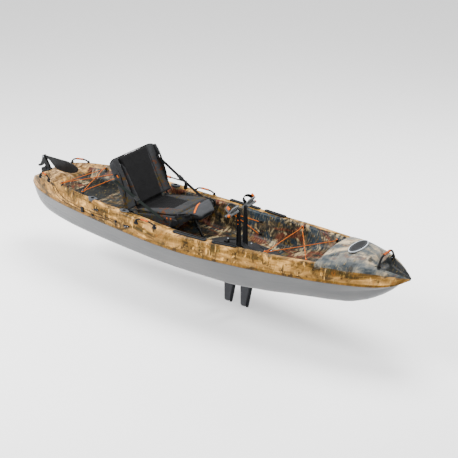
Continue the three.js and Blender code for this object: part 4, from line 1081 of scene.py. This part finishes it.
def make_line_fittings():
    """The cleat, the pull balls and the end fittings of the rudder lines, on the starboard side."""
    out_of_side, forward = (0, -1, 0.1), (1, 0, 0)
    ball_profile = [(0, -12), (5, -12), (8.5, -8), (11, -2), (11, 2), (8.5, 8), (5, 12), (0, 12)]
    for name, x, z in (("lower", -840, 246), ("upper", -560, 271)):
        y = side_y(x, z) + LINE_OFF_SIDE
        ball = turned_mm(f"pull_ball_{name}", ball_profile, black)
        stand(ball, Vector((x, -y - 2, z)) * MM, forward, (0, 0, 1))
        settle(ball, "kayak")
    for name, x, z in (("upper", -424, 263), ("lower", -452, 255)):
        y = side_y(x, z)
        block = soft_box(f"line_end_{name}", (0.034, 0.016, 0.009), black, 0.003)
        stand(block, Vector((x, -y - 4, z)) * MM, out_of_side, forward)
        settle(block, "kayak")
        screw(f"line_end_{name}_screw", Vector((x + 5, -y - 8.5, z)) * MM, out_of_side, 0.0035)
    x, z = -799, 303
    y = side_y(x, z)
    base = soft_box("cleat_base", (0.046, 0.018, 0.008), black, 0.003)
    stand(base, Vector((x, -y - 3, z)) * MM, out_of_side, forward)
    horns = ((-28, 15), (-12, 14), (-9, 4), (9, 4), (12, 14), (28, 15))
    path = bent_points([Vector((x + dx, -y - out, z)) * MM for dx, out in horns], 0.006)
    settle(joined("cleat", [base, tube("cleat_horn", path, 0.0042, black, 5)]), "kayak")
    for end, dx in (("a", -16), ("b", 16)):
        screw(f"cleat_screw_{end}", Vector((x + dx, -y - 7, z)) * MM, out_of_side, 0.003)


def make_handle(node, ends, rise, radius, lean=0.0):
    """A carry handle: strap bar, ribbed orange grip and two screwed feet. Millimetres."""
    (xa, ya), (xb, yb) = ends
    za, zb = deck_z(xa, ya), deck_z(xb, yb)
    top = max(za, zb) + rise
    grip_z = top + 0.3 * radius

    def at(t, z):
        return Vector((xa + (xb - xa) * t, ya + (yb - ya) * t + lean * (z > za + 5), z)) * MM

    shoulder = top - rise * 0.45
    path = bent_points([at(0, za - 6), at(0.02, shoulder), at(0.2, top), at(0.8, top),
                        at(0.98, shoulder), at(1, zb - 6)], 0.02)
    parts = [tube(f"{node}_bar", path, radius * MM, rubber, 6)]
    along = Vector((xb - xa, yb - ya, 0)).normalized()
    foot = [(a * MM, b * MM) for a, b in oval(24, 13)]
    boss_profile = [(0, 0), (13, 0), (12, 7), (radius * 1.5, 18), (radius * 1.2, 26), (0, 26)]
    feet = ((xa, ya, za), (xb, yb, zb))
    for i, (x, y, z) in enumerate(feet):
        pad = outline_prism(f"{node}_foot_{i}", foot, 0, 0.006, black, 0.002)
        slope = (deck_z(x, y + 8) - deck_z(x, y - 8)) / 16
        stand(pad, Vector((x, y, z - 1)) * MM, (0, -slope, 1), along)
        boss = turned_mm(f"{node}_boss_{i}", boss_profile, rubber, 16)
        stand(boss, Vector((x, y, z + 2)) * MM)
        parts += [pad, boss]
    grip = [at(t, grip_z) for t in np.linspace(0.3, 0.7, 9)]
    parts.append(tube(f"{node}_grip", grip, radius * 1.12 * MM, orange_plastic, 8))
    for k in range(6):
        t = 0.32 + 0.072 * k
        rib = [at(t, grip_z), at(t + 0.016, grip_z)]
        parts.append(tube(f"{node}_rib_{k}", rib, radius * 1.28 * MM, rubber, 8))
    settle(joined(f"{node}_body", parts), "kayak", [node])
    for i, (x, y, z) in enumerate(feet):
        for j, way in enumerate((-1, 1)):
            place = Vector((x, y, z + 5.0)) + along * 17 * way
            screw(f"{node}_screw_{i}_{j}", place * MM, radius=0.0035)


def make_handles():
    for name, side in SIDES:
        make_handle(f"side_handle_{name}", ((-338, 402 * side), (-140, 406 * side)), 36, 7, 4 * side)
        make_handle(f"stern_handle_{name}", ((-1618, 205 * side), (-1462, 256 * side)), 36, 7)
    make_handle("bow_handle", ((1745, -110), (1745, 110)), 78, 8)


def make_badge():
    """The oval badge on the bow, with a plain face."""
    x, z = 1506, deck_z(1506, 0)
    slope = (deck_z(1530, 0) - deck_z(1480, 0)) / 50
    for name, a, b, height, material in (
            ("badge_rim", 124, 52, 3.5, pale_plastic), ("badge_face", 117, 45, 4.6, black),
            ("badge_ring", 104, 34, 5.0, grey_plastic), ("badge_field", 101, 31, 5.4, black)):
        outline = [(p * MM, q * MM) for p, q in oval(b, a, 48)]
        piece = outline_prism(name, outline, -0.004, height * MM, material, 0.0008)
        stand(piece, Vector((x, 0, z)) * MM, (-slope, 0, 1))
        settle(piece, "kayak")


def make_deck_fittings():
    for name, side in SIDES:
        for place, (x, y) in HOLDERS.items():
            node = f"rod_holder_{place}_{name}"
            refine(node, grey_plastic, 0.0018, 3)
            for k in range(4):
                angle = math.radians(45 + 90 * k)
                px, py = x + 46 * math.cos(angle), (y + 19 * math.sin(angle)) * side
                head = Vector((px, py, deck_z(px, abs(py)) + 3.4))
                screw(f"{node}_screw_{k}", head * MM, radius=0.0032)
        for place in HOLDERS:
            refine(f"gear_track_{place}_{name}", alloy, 0.0014)
        refine(f"seat_bracket_{name}", black)
        refine(f"seat_hinge_{name}", black)
    for node, width in (("line_clip", 0.0012), ("steering_bracket", 0.0012), ("steering_lever", 0.0016),
                        ("rudder_bracket", 0.0012), ("rudder_head", 0.0012), ("rudder_blade", 0.002)):
        refine(node, black, width)
    for k, side in enumerate((1, -1)):
        bolt = Vector((-1764, 14.2 * side, 453)) * MM
        screw(f"rudder_bolt_{k}", bolt, (0, side, 0), 0.008, "rudder_head")
    for i, (dx, dy) in enumerate(((-37, -24), (-37, 24), (37, -24), (37, 24))):
        screw(f"bracket_screw_{i}", Vector((-1745 + dx, dy, 344)) * MM, radius=0.004)
    grip_profile = [(0, 0), (9.6, 0), (10.4, 4), (10.4, 34), (9.6, 40), (0, 40)]
    grip = turned_mm("lever_grip", grip_profile, orange_plastic)
    stand(grip, Vector((-609.5, 346, 414)) * MM, (1, 0, 0), (0, 0, 1))
    settle(grip, "steering_lever")


# ---------------------------------------------------------------- pedal drive
TREAD_TURN = Matrix.Rotation(math.radians(-56), 4, "Y")
PLATE_TOP = 127
PLATE_SCREWS = ((130, 0), (215, 118), (215, -118), (430, 152), (430, -152), (640, 132), (640, -132),
                (765, 0))
DRIVE_X, PIVOT_Z, SPINDLE_Z = 440, 165, 497


def on_tread(side, a, b, c):
    """A point of a pedal's tread: a towards the toe, b across it and c off its face. Metres out."""
    spindle = Vector((DRIVE_X, 116 * side, SPINDLE_Z)) * MM
    return Matrix.Translation(spindle) @ TREAD_TURN @ Vector((a, b, c))


def make_drive():
    refine("drive_well", black)
    refine("drive_plate", plate_plastic, 0.003, 3)
    refine("drive_housing", black, 0.003, 3)
    refine("drive_cross_shaft", steel)
    refine("drive_clamp_rear", black)
    refine("drive_clamp_front", black)
    for i, (x, y) in enumerate(PLATE_SCREWS):
        place = Vector((x, y, PLATE_TOP)) * MM
        screw(f"plate_screw_{i}", place, radius=0.0062, material=pale_plastic)
    for i, x in enumerate((235, 668)):
        corners = [(x * MM + dx, y, 0.005) for dx, y in (
            (-0.006, -0.088), (0.006, -0.088), (0.006, 0.088), (-0.006, 0.088))]
        rib = outline_prism(f"plate_rib_{i}", rounded(corners), 0.1268, 0.131, plate_plastic, 0.0015)
        settle(rib, "kayak")
    for name, side in SIDES:
        make_pedal(name, side)
    for name in ("front", "rear"):
        refine(f"fin_mast_{name}", alloy)
        refine(f"fin_blade_{name}", fin_rubber, 0.0022, 3)
        low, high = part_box(f"fin_blade_{name}")
        size = (0.052, high[1] - low[1] + 0.0022, 0.013)
        band = soft_box(f"fin_band_{name}", size, orange_plastic, 0.001)
        stand(band, ((low[0] + high[0]) / 2 + 0.012, 0, low[2] + 0.60 * (high[2] - low[2])))
        settle(band, f"fin_{name}")


def make_pedal(name, side):
    """One pedal: its arm, its ribbed tread, the toe strap, and the dots, knob and bolt of the arm."""
    arm, tread = f"pedal_{name}", f"tread_{name}"
    face_up, toe_way = TREAD_TURN @ Vector((0, 0, 1)), TREAD_TURN @ Vector((1, 0, 0))
    outward = (0, side, 0)
    refine(f"pedal_arm_{name}", black, 0.0022, 3)
    refine(f"pedal_tread_{name}", tread_plastic, 0.0022, 3)
    for k in range(7):
        rib = soft_box(f"tread_rib_{name}_{k}", (0.0055, 0.078, 0.0036), rubber, 0.0012, 2)
        stand(rib, on_tread(side, -0.030 + 0.0145 * k, 0, 0.0182), face_up, toe_way)
        settle(rib, tread)
    refine(f"pedal_strap_{name}", webbing if side > 0 else webbing_grey, 0.0012)
    for k, share in enumerate((0.65, 0.75)):
        z = PIVOT_Z + (SPINDLE_Z - PIVOT_Z) * share
        dot = turned_mm(f"arm_dot_{name}_{k}", [(0, 0), (5, 0), (4.6, 1), (0, 1.2)], orange_plastic)
        stand(dot, Vector((DRIVE_X, 56.0 * side, z)) * MM, outward)
        settle(dot, arm)
    knob_profile = [(0, 0), (10, 0), (12, 3), (12, 9), (9, 13), (0, 14)]
    knob = turned_mm(f"spindle_knob_{name}", knob_profile, orange_plastic)
    stand(knob, Vector((DRIVE_X, 176 * side, SPINDLE_Z)) * MM, outward)
    settle(knob, arm)
    buckle = soft_box(f"strap_buckle_{name}", (0.018, 0.030, 0.012), orange_plastic, 0.003)
    stand(buckle, on_tread(side, 0.040, 0.053 * side, 0.044), (0, side, 0.1), toe_way)
    settle(buckle, tread)
    screw(f"pivot_bolt_{name}", Vector((DRIVE_X, 61.5 * side, PIVOT_Z)) * MM, outward, 0.0085)


# ---------------------------------------------------------------- seat
SEAT_X, SEAT_Z = -0.521, 0.311
SEAT_TILT, SEAT_LEAN = math.radians(9.7), math.radians(26)


def on_base(u, y, w):
    """A point of the seat's base: forward, across and up. Metres."""
    return Vector((SEAT_X + u * math.cos(SEAT_TILT) - w * math.sin(SEAT_TILT), y,
                   SEAT_Z + u * math.sin(SEAT_TILT) + w * math.cos(SEAT_TILT)))


def on_back(v, y, w):
    """A point of the seat's back: up, across and forward. Metres."""
    return Vector((SEAT_X - v * math.sin(SEAT_LEAN) + w * math.cos(SEAT_LEAN), y,
                   SEAT_Z + v * math.cos(SEAT_LEAN) + w * math.sin(SEAT_LEAN)))


def base_place(point):
    """(u, y, w) of a point on the seat's base."""
    dx, dz = point[0] - SEAT_X, point[2] - SEAT_Z
    return (dx * math.cos(SEAT_TILT) + dz * math.sin(SEAT_TILT), point[1],
            -dx * math.sin(SEAT_TILT) + dz * math.cos(SEAT_TILT))


def back_place(point):
    """(v, y, w) of a point on the seat's back."""
    dx, dz = point[0] - SEAT_X, point[2] - SEAT_Z
    return (-dx * math.sin(SEAT_LEAN) + dz * math.cos(SEAT_LEAN), point[1],
            dx * math.cos(SEAT_LEAN) + dz * math.sin(SEAT_LEAN))


CLOTH_FRAMES = 20
OUTLINE_GIVE = 0.15     # how much of the cloth's pull a cushion's outline follows
BASE_UP = (-math.sin(SEAT_TILT), 0, math.cos(SEAT_TILT))
BACK_OUT = (math.cos(SEAT_LEAN), 0, math.sin(SEAT_LEAN))


def cushion(node, voxel, cap, pressure=4.0, swells=(0, 0, 1)):
    """A padded piece from a CAD node: a cover blown up a little by the stuffing inside it. It swells along
    one direction, and the frame that it is sewn round holds most of its outline."""
    mesh = frame["nodes"][node].data.copy()
    mesh.transform(frame["nodes"][node].matrix_world)
    piece = bpy.data.objects.new(f"{node}_soft", mesh)
    bpy.context.scene.collection.objects.link(piece)
    remesh = piece.modifiers.new("remesh", "REMESH")
    remesh.mode = "VOXEL"
    remesh.voxel_size = voxel
    smooth = piece.modifiers.new("smooth", "SMOOTH")
    smooth.iterations = 3
    smooth.factor = 0.5
    bake(piece)
    rest = points_of(piece)
    blow_up(piece, pressure)
    step = points_of(piece) - rest
    out = np.array(Vector(swells).normalized())
    swelling = np.outer(step @ out, out)
    step = swelling + OUTLINE_GIVE * (step - swelling)
    length = np.linalg.norm(step, axis=1)
    scale = np.minimum(1, cap / np.maximum(length, 1e-9))
    put_points(piece, rest + step * scale[:, None])
    piece.data.materials.clear()
    return piece


def blow_up(piece, pressure):
    """Runs a short cloth simulation with pressure inside the piece, and bakes its last frame."""
    cloth = piece.modifiers.new("cloth", "CLOTH")
    settings = cloth.settings
    settings.use_pressure = True
    settings.uniform_pressure_force = pressure
    settings.effector_weights.gravity = 0
    settings.tension_stiffness = 30
    settings.compression_stiffness = 4
    settings.bending_stiffness = 0.4
    settings.quality = 5
    cloth.collision_settings.use_self_collision = False
    cloth.point_cache.frame_start = 1
    cloth.point_cache.frame_end = CLOTH_FRAMES
    for number in range(1, CLOTH_FRAMES + 1):
        bpy.context.scene.frame_set(number)
    bake(piece)
    bpy.context.scene.frame_set(1)


def bake(piece):
    """Replaces a piece's mesh with what its modifiers make of it."""
    evaluated = piece.evaluated_get(bpy.context.evaluated_depsgraph_get())
    mesh = bpy.data.meshes.new_from_object(evaluated)
    piece.modifiers.clear()
    piece.data = mesh


def put_points(piece, points):
    piece.data.vertices.foreach_set("co", np.array(points, np.float32).ravel())
    piece.data.update()


def points_of(piece):
    return np.array([v.co[:] for v in piece.data.vertices])


def normals_of(piece):
    return np.array([v.normal[:] for v in piece.data.vertices])


def press_seams(piece, place, seams, depth, width):
    """Presses grooves into a cushion. Each seam gives a distance for a (length, across, height) place."""
    normals = normals_of(piece)
    points = points_of(piece)
    for i, point in enumerate(points):
        nearest = min(abs(seam(*place(point))) for seam in seams)
        if nearest < width * 3:
            points[i] = point - normals[i] * depth * math.exp(-(nearest / width) ** 2)
    put_points(piece, points)


def wrinkle(piece, amount, scale, stretch=(1, 1, 1)):
    """Soft creases from a fixed noise field."""
    normals = normals_of(piece)
    points = points_of(piece)
    for i, point in enumerate(points):
        sample = Vector([point[k] * scale * stretch[k] for k in range(3)])
        ridge = 1 - abs(noise.noise(sample)) * 2
        fold = noise.noise(sample * 2.3 + Vector((3.1, 0.7, 5.2)))
        points[i] = point + normals[i] * amount * (0.7 * ridge ** 3 + 0.5 * fold)
    put_points(piece, points)


def paint_faces(piece, place, choose, materials):
    """Gives each face the material that choose names for its middle."""
    for material in materials:
        piece.data.materials.append(material)
    for face in piece.data.polygons:
        face.material_index = choose(*place(face.center))
        face.use_smooth = True


def fleck_amounts(piece, place, amount):
    """Says how much of the leaf pattern shows at each point of a cushion."""
    values = [amount(*place(vertex.co)) for vertex in piece.data.vertices]
    set_attribute(piece.data, "flecks", values, "FLOAT")


def padded_piece(piece, body, node):
    """Finishes a cushion: one subdivision and its body, with its CAD node hidden."""
    smooth = piece.modifiers.new("subdivide", "SUBSURF")
    smooth.levels = smooth.render_levels = 1
    settle(piece, body, [node])
    return piece


CENTRE_END = 0.352      # how far forward the dark middle of the seat's base goes


def base_edge(u):
    """Half width of the dark middle of the seat's base."""
    return float(np.interp(u, (0.0, 0.06, 0.30, 0.35, CENTRE_END), (0.168, 0.162, 0.100, 0.096, 0.0)))


def stripe_u(y):
    """How far forward the orange stripe across the nose is at y."""
    return 0.474 + 0.48 * (0.085 - y)


def laid_on(piece, point, out):
    """The place on a piece's surface that a point comes down on, along out."""
    hit, place, _, _ = piece.ray_cast(point + out * 0.1, -out)
    return place if hit else point


def make_seat_base():
    base = cushion("seat_base_pad", 0.006, 0.010, 5.0, BASE_UP)
    press_seams(base, base_place, [
        lambda u, y, w: (abs(y) - max(base_edge(min(u, 0.35)), 0.02)) if u < CENTRE_END else 1,
        lambda u, y, w: (u - CENTRE_END) if abs(y) < 0.1 else 1,
        lambda u, y, w: abs(y) - np.interp(u, (0, 0.4, 0.47), (0.196, 0.215, 0.205))], 0.0028, 0.0045)
    wrinkle(base, 0.0014, 13, (1, 1.4, 1))
    paint_faces(base, base_place, lambda u, y, w: 0 if abs(y) < base_edge(u) and w > -0.012 else 1,
                (cloth_base, cloth_side))
    fleck_amounts(base, base_place, lambda u, y, w: float(u > 0.1 or abs(y) > 0.16))
    padded_piece(base, "kayak", "seat_base_pad")
    nose = cushion("seat_nose_pad", 0.005, 0.008, 5.0, BASE_UP)
    press_seams(nose, base_place, [lambda u, y, w: u - 0.536], 0.0022, 0.004)
    wrinkle(nose, 0.0012, 16)
    paint_faces(nose, base_place, lambda u, y, w: 0 if u > stripe_u(y) else 1, (cloth_nose, cloth_side))
    fleck_amounts(nose, base_place, lambda u, y, w: float(u < stripe_u(y)))
    padded_piece(nose, "kayak", "seat_nose_pad")
    bpy.context.view_layer.update()
    up = Vector(BASE_UP)
    across = np.linspace(-0.115, 0.085, 11)
    route = [laid_on(nose, on_base(stripe_u(y), y, 0), up) + up * 0.001 for y in across]
    stripe = ribbon("seat_stripe", route, 0.015, 0.0026, up, orange_cloth)
    settle(stripe, "kayak")
    rim = [(0.012, 0.204), (0.10, 0.2095), (0.20, 0.216), (0.30, 0.2225), (0.385, 0.2275), (0.42, 0.226),
           (0.468, 0.212)]
    front = [(0.478, 0.212, 0.001), (0.52, 0.176, -0.002), (0.56, 0.141, -0.014), (0.60, 0.108, -0.036)]
    for name, side in SIDES:
        route = spline_points([on_base(u, y * side, 0.0015) for u, y in rim], 6)
        settle(tube(f"base_piping_{name}", route, 0.0034, piping), "kayak")
        route = spline_points([on_base(u, y * side, w) for u, y, w in front], 6)
        settle(tube(f"nose_piping_{name}", route, 0.003, piping), "kayak")


def ribbon(name, route, width, thickness, up, material):
    """A flat strap along a route, its width square to the route and to up."""
    points, faces = [], []
    route = [Vector(p) for p in route]
    for i, point in enumerate(route):
        along = (route[min(i + 1, len(route) - 1)] - route[max(i - 1, 0)]).normalized()
        across = along.cross(Vector(up)).normalized() * width / 2
        off = across.cross(along).normalized() * thickness / 2
        points += [point - across - off, point + across - off, point + across + off, point - across + off]
    for i in range(len(route) - 1):
        for k in range(4):
            a, b = i * 4 + k, i * 4 + (k + 1) % 4
            faces.append((a, b, b + 4, a + 4))
    last = (len(route) - 1) * 4
    faces += [(3, 2, 1, 0), (last, last + 1, last + 2, last + 3)]
    return bevelled(mesh_object(name, points, faces, material), min(0.0008, thickness * 0.3), 2, 50)


def back_edge(v):
    """Half width of the dark hourglass in the middle of the backrest."""
    heights, halves = (0, 0.06, 0.14, 0.25, 0.36, 0.47), (0.132, 0.138, 0.144, 0.150, 0.158, 0.190)
    return float(np.interp(v, heights, halves))


def make_seat_back():
    back = cushion("backrest_pad", 0.006, 0.010, 5.0, BACK_OUT)
    press_seams(back, back_place, [lambda v, y, w: abs(y) - back_edge(v)], 0.0030, 0.0045)
    wrinkle(back, 0.0012, 11, (1, 1, 1.3))
    paint_faces(back, back_place, lambda v, y, w: 0 if abs(y) < back_edge(v) else 1,
                (cloth_dark, cloth_side))
    fleck_amounts(back, back_place, lambda v, y, w: weight(v, 0.34, 0.26) * weight(abs(y), 0.13, 0.15))
    padded_piece(back, "backrest", "backrest_pad")
    for name, side in SIDES:
        make_wing(name, side)
    top = [on_back(0.4625, y, 0.012) for y in np.linspace(-0.18, 0.18, 9)]
    settle(tube("back_top_piping", top, 0.0036, piping), "backrest")
    tag = soft_box("pull_tag", (0.024, 0.012, 0.004), orange_cloth, 0.001)
    stand(tag, on_back(0.318, -0.283, 0.040), (0, -1, 0), (0.5, 0, -1))
    settle(tag, "backrest")
    refine("backrest_frame", alloy, 0.0015)
    refine("seat_frame", alloy, 0.0015)
    refine("seat_leg", black, 0.0015)


def make_wing(name, side):
    """A side wing of the backrest, its piping and the two rings that its strap hangs on."""
    node = f"backrest_wing_{name}"
    wing = cushion(node, 0.004, 0.005, 3.0, BACK_OUT)
    wrinkle(wing, 0.0011, 14)
    paint_faces(wing, back_place, lambda v, y, w: 0, (cloth_side,))
    fleck_amounts(wing, back_place, lambda v, y, w: weight(v, 0.36, 0.30))
    padded_piece(wing, "backrest", node)
    rim = [(0.180, 0.462, 0.010), (0.215, 0.462, 0.008), (0.250, 0.457, 0.008), (0.270, 0.446, 0.016),
           (0.273, 0.430, 0.030), (0.271, 0.400, 0.050), (0.269, 0.350, 0.0585), (0.268, 0.300, 0.0615),
           (0.268, 0.240, 0.054), (0.268, 0.190, 0.046), (0.267, 0.140, 0.028), (0.266, 0.105, 0.012)]
    route = [on_back(v, y * side, w) for y, v, w in rim]
    settle(tube(f"wing_piping_{name}", spline_points(route, 6), 0.0036, piping), "backrest")
    profile = [(15, -3), (19, -3), (20, 0), (19, 3), (15, 3), (13.5, 0), (15, -3)]
    outer = turned_mm(f"strap_ring_{name}", profile, black, 28)
    inner = outer.copy()
    bpy.context.scene.collection.objects.link(inner)
    for ring, y in ((inner, 0.2585), (outer, 0.2795)):
        stand(ring, on_back(0.330, y * side, 0.030), (0, side, 0))
        settle(ring, "backrest")


def front_skirt(name, side):
    """The part of a side skirt that goes on forward under the nose pad's slanted edge."""
    upper = [(0.400, 0.247, -0.010), (0.440, 0.243, -0.010), (0.474, 0.221, -0.010), (0.520, 0.184, -0.014),
             (0.565, 0.147, -0.028)]
    lower = [(0.400, 0.250, -0.100), (0.428, 0.248, -0.112), (0.452, 0.238, -0.112), (0.500, 0.200, -0.085),
             (0.565, 0.148, -0.046)]
    down, thick = 8, 0.004
    points, faces = [], []
    rows = [spline_points([on_base(u, y * side, w) for u, y, w in edge], 4) for edge in (upper, lower)]
    count = len(rows[0])
    for layer in (0, 1):
        for top, low in zip(*rows):
            for k in range(down + 1):
                share = k / down
                bulge = 0.004 * math.sin(math.pi * share)
                point = Vector(top).lerp(Vector(low), share)
                points.append(point + Vector((0.35, side, 0)).normalized() * (bulge + thick * layer))
    step, size = down + 1, count * (down + 1)
    for i in range(count - 1):
        for k in range(down):
            a = i * step + k
            faces.append((a, a + 1, a + step + 1, a + step))
            faces.append(tuple(size + corner for corner in (a, a + step, a + step + 1, a + 1)))
    rim = [i * step for i in range(count)]
    rim += [(count - 1) * step + k for k in range(1, step)]
    rim += [i * step + down for i in range(count - 2, -1, -1)]
    rim += list(range(down - 1, 0, -1))
    for a, b in zip(rim, rim[1:] + rim[:1]):
        faces.append((a, a + size, b + size, b))
    piece = mesh_object(f"front_skirt_{name}", points, faces, cloth_side, True)
    wrinkle(piece, 0.0010, 15)
    fleck_amounts(piece, base_place, lambda u, y, w: 1.0)
    return piece


def make_crease():
    """The cloth that joins the base to the back along the crease between them."""
    start, end = on_base(0.050, 0, -0.004), on_back(0.060, 0, -0.002)
    route = spline_points([start, on_base(0.018, 0, -0.010), on_back(0.016, 0, -0.004), end], 6)
    flap = ribbon("seat_crease", route, 0.336, 0.006, (1, 0, 1), cloth_dark)
    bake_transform(flap)


def make_seat_sides():
    for name, side in SIDES:
        make_side_skirt(name, side)
        make_front_corner(name, side)
        make_seat_strap(name, side)


def make_side_skirt(name, side):
    """A side skirt of the seat, with its band and two orange marks, and its forward part."""
    node = f"seat_skirt_{name}"
    skirt = cushion(node, 0.003, 0.003, 2.0, (0, 1, 0))
    wrinkle(skirt, 0.0010, 15)
    paint_faces(skirt, base_place, lambda u, y, w: 0, (cloth_side,))
    fleck_amounts(skirt, base_place, lambda u, y, w: 1.0)
    padded_piece(skirt, "kayak", node)
    outward = (0, side, 0)
    y = 0.2525 * side
    route = [on_base(u, y, -0.020 - 0.05 * (u - 0.30)) for u in np.linspace(0.355, 0.452, 7)]
    settle(ribbon(f"skirt_band_{name}", route, 0.014, 0.002, outward, cloth_nose), "kayak")
    y += 0.001 * side
    for k, u in enumerate((0.385, 0.425)):
        route = [on_base(u, y, -0.0225), on_base(u + 0.011, y, -0.0235)]
        mark = ribbon(f"skirt_mark_{name}_{k}", route, 0.012, 0.0022, outward, orange_cloth)
        settle(mark, "kayak")
    front = front_skirt(name, side)
    settle(front, "kayak")


def make_front_corner(name, side):
    """The rubber notch and the plastic bracket at a front corner of the seat."""
    corner = on_base(0, 0, 0)
    notch = soft_box(f"corner_notch_{name}", (0.050, 0.024, 0.026), rubber, 0.005)
    stand(notch, on_base(0.538, 0.168 * side, -0.020), on_base(0, 0, 1) - corner,
          on_base(0.040, -0.035 * side, 0) - corner)
    settle(notch, "kayak")
    outline = rounded([(0.440, -0.092, 0.008), (0.500, -0.070, 0.01), (0.496, -0.028, 0.01),
                       (0.462, -0.020, 0.01), (0.440, -0.050, 0.01)])
    bracket = outline_prism(f"corner_bracket_{name}", outline, -0.009, 0.009, black, 0.003)
    bracket.matrix_world = (Matrix.Translation((SEAT_X, 0.262 * side, SEAT_Z))
                            @ Matrix.Rotation(-SEAT_TILT, 4, "Y") @ Matrix.Rotation(math.pi / 2, 4, "X"))
    settle(bracket, "kayak")


def make_seat_strap(name, side):
    """A strap with its buckle, from the backrest down to the seat's bracket."""
    top, low = on_back(0.303, 0.305 * side, 0.006), Vector((-0.149, 0.274 * side, 0.338))
    line = low - top
    up = Vector((0.3, 0, 1)).cross(line).cross(line) * -1
    sag = Vector((0, 0, 0.004))
    route = [top + line * t - sag * math.sin(math.pi * t) for t in np.linspace(0.012, 0.99, 25)]
    cloth = webbing if side > 0 else webbing_green
    strap = ribbon(f"strap_{name}", route, 0.032, 0.0028, up, cloth)
    buckle = soft_box(f"buckle_{name}", (0.050, 0.042, 0.010), black, 0.0025)
    stand(buckle, top + line * 0.46 - sag, up, line)
    bar = soft_box(f"buckle_bar_{name}", (0.006, 0.034, 0.014), rubber, 0.0015)
    stand(bar, top + line * 0.475 - sag, up, line)
    whole = joined(f"seat_strap_{name}_webbing", [strap, buckle, bar])
    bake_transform(whole)
    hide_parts(f"seat_strap_{name}")


# ---------------------------------------------------------------- assembly
make_camera()
make_cords()
make_studio()
make_deck(camouflage("deck_camouflage"))
make_hull(hull_plastic("hull_plastic"))
make_bungee_fittings()
make_line_fittings()
make_handles()
make_badge()
make_deck_fittings()
make_drive()
make_seat_base()
make_seat_back()
make_crease()
make_seat_sides()
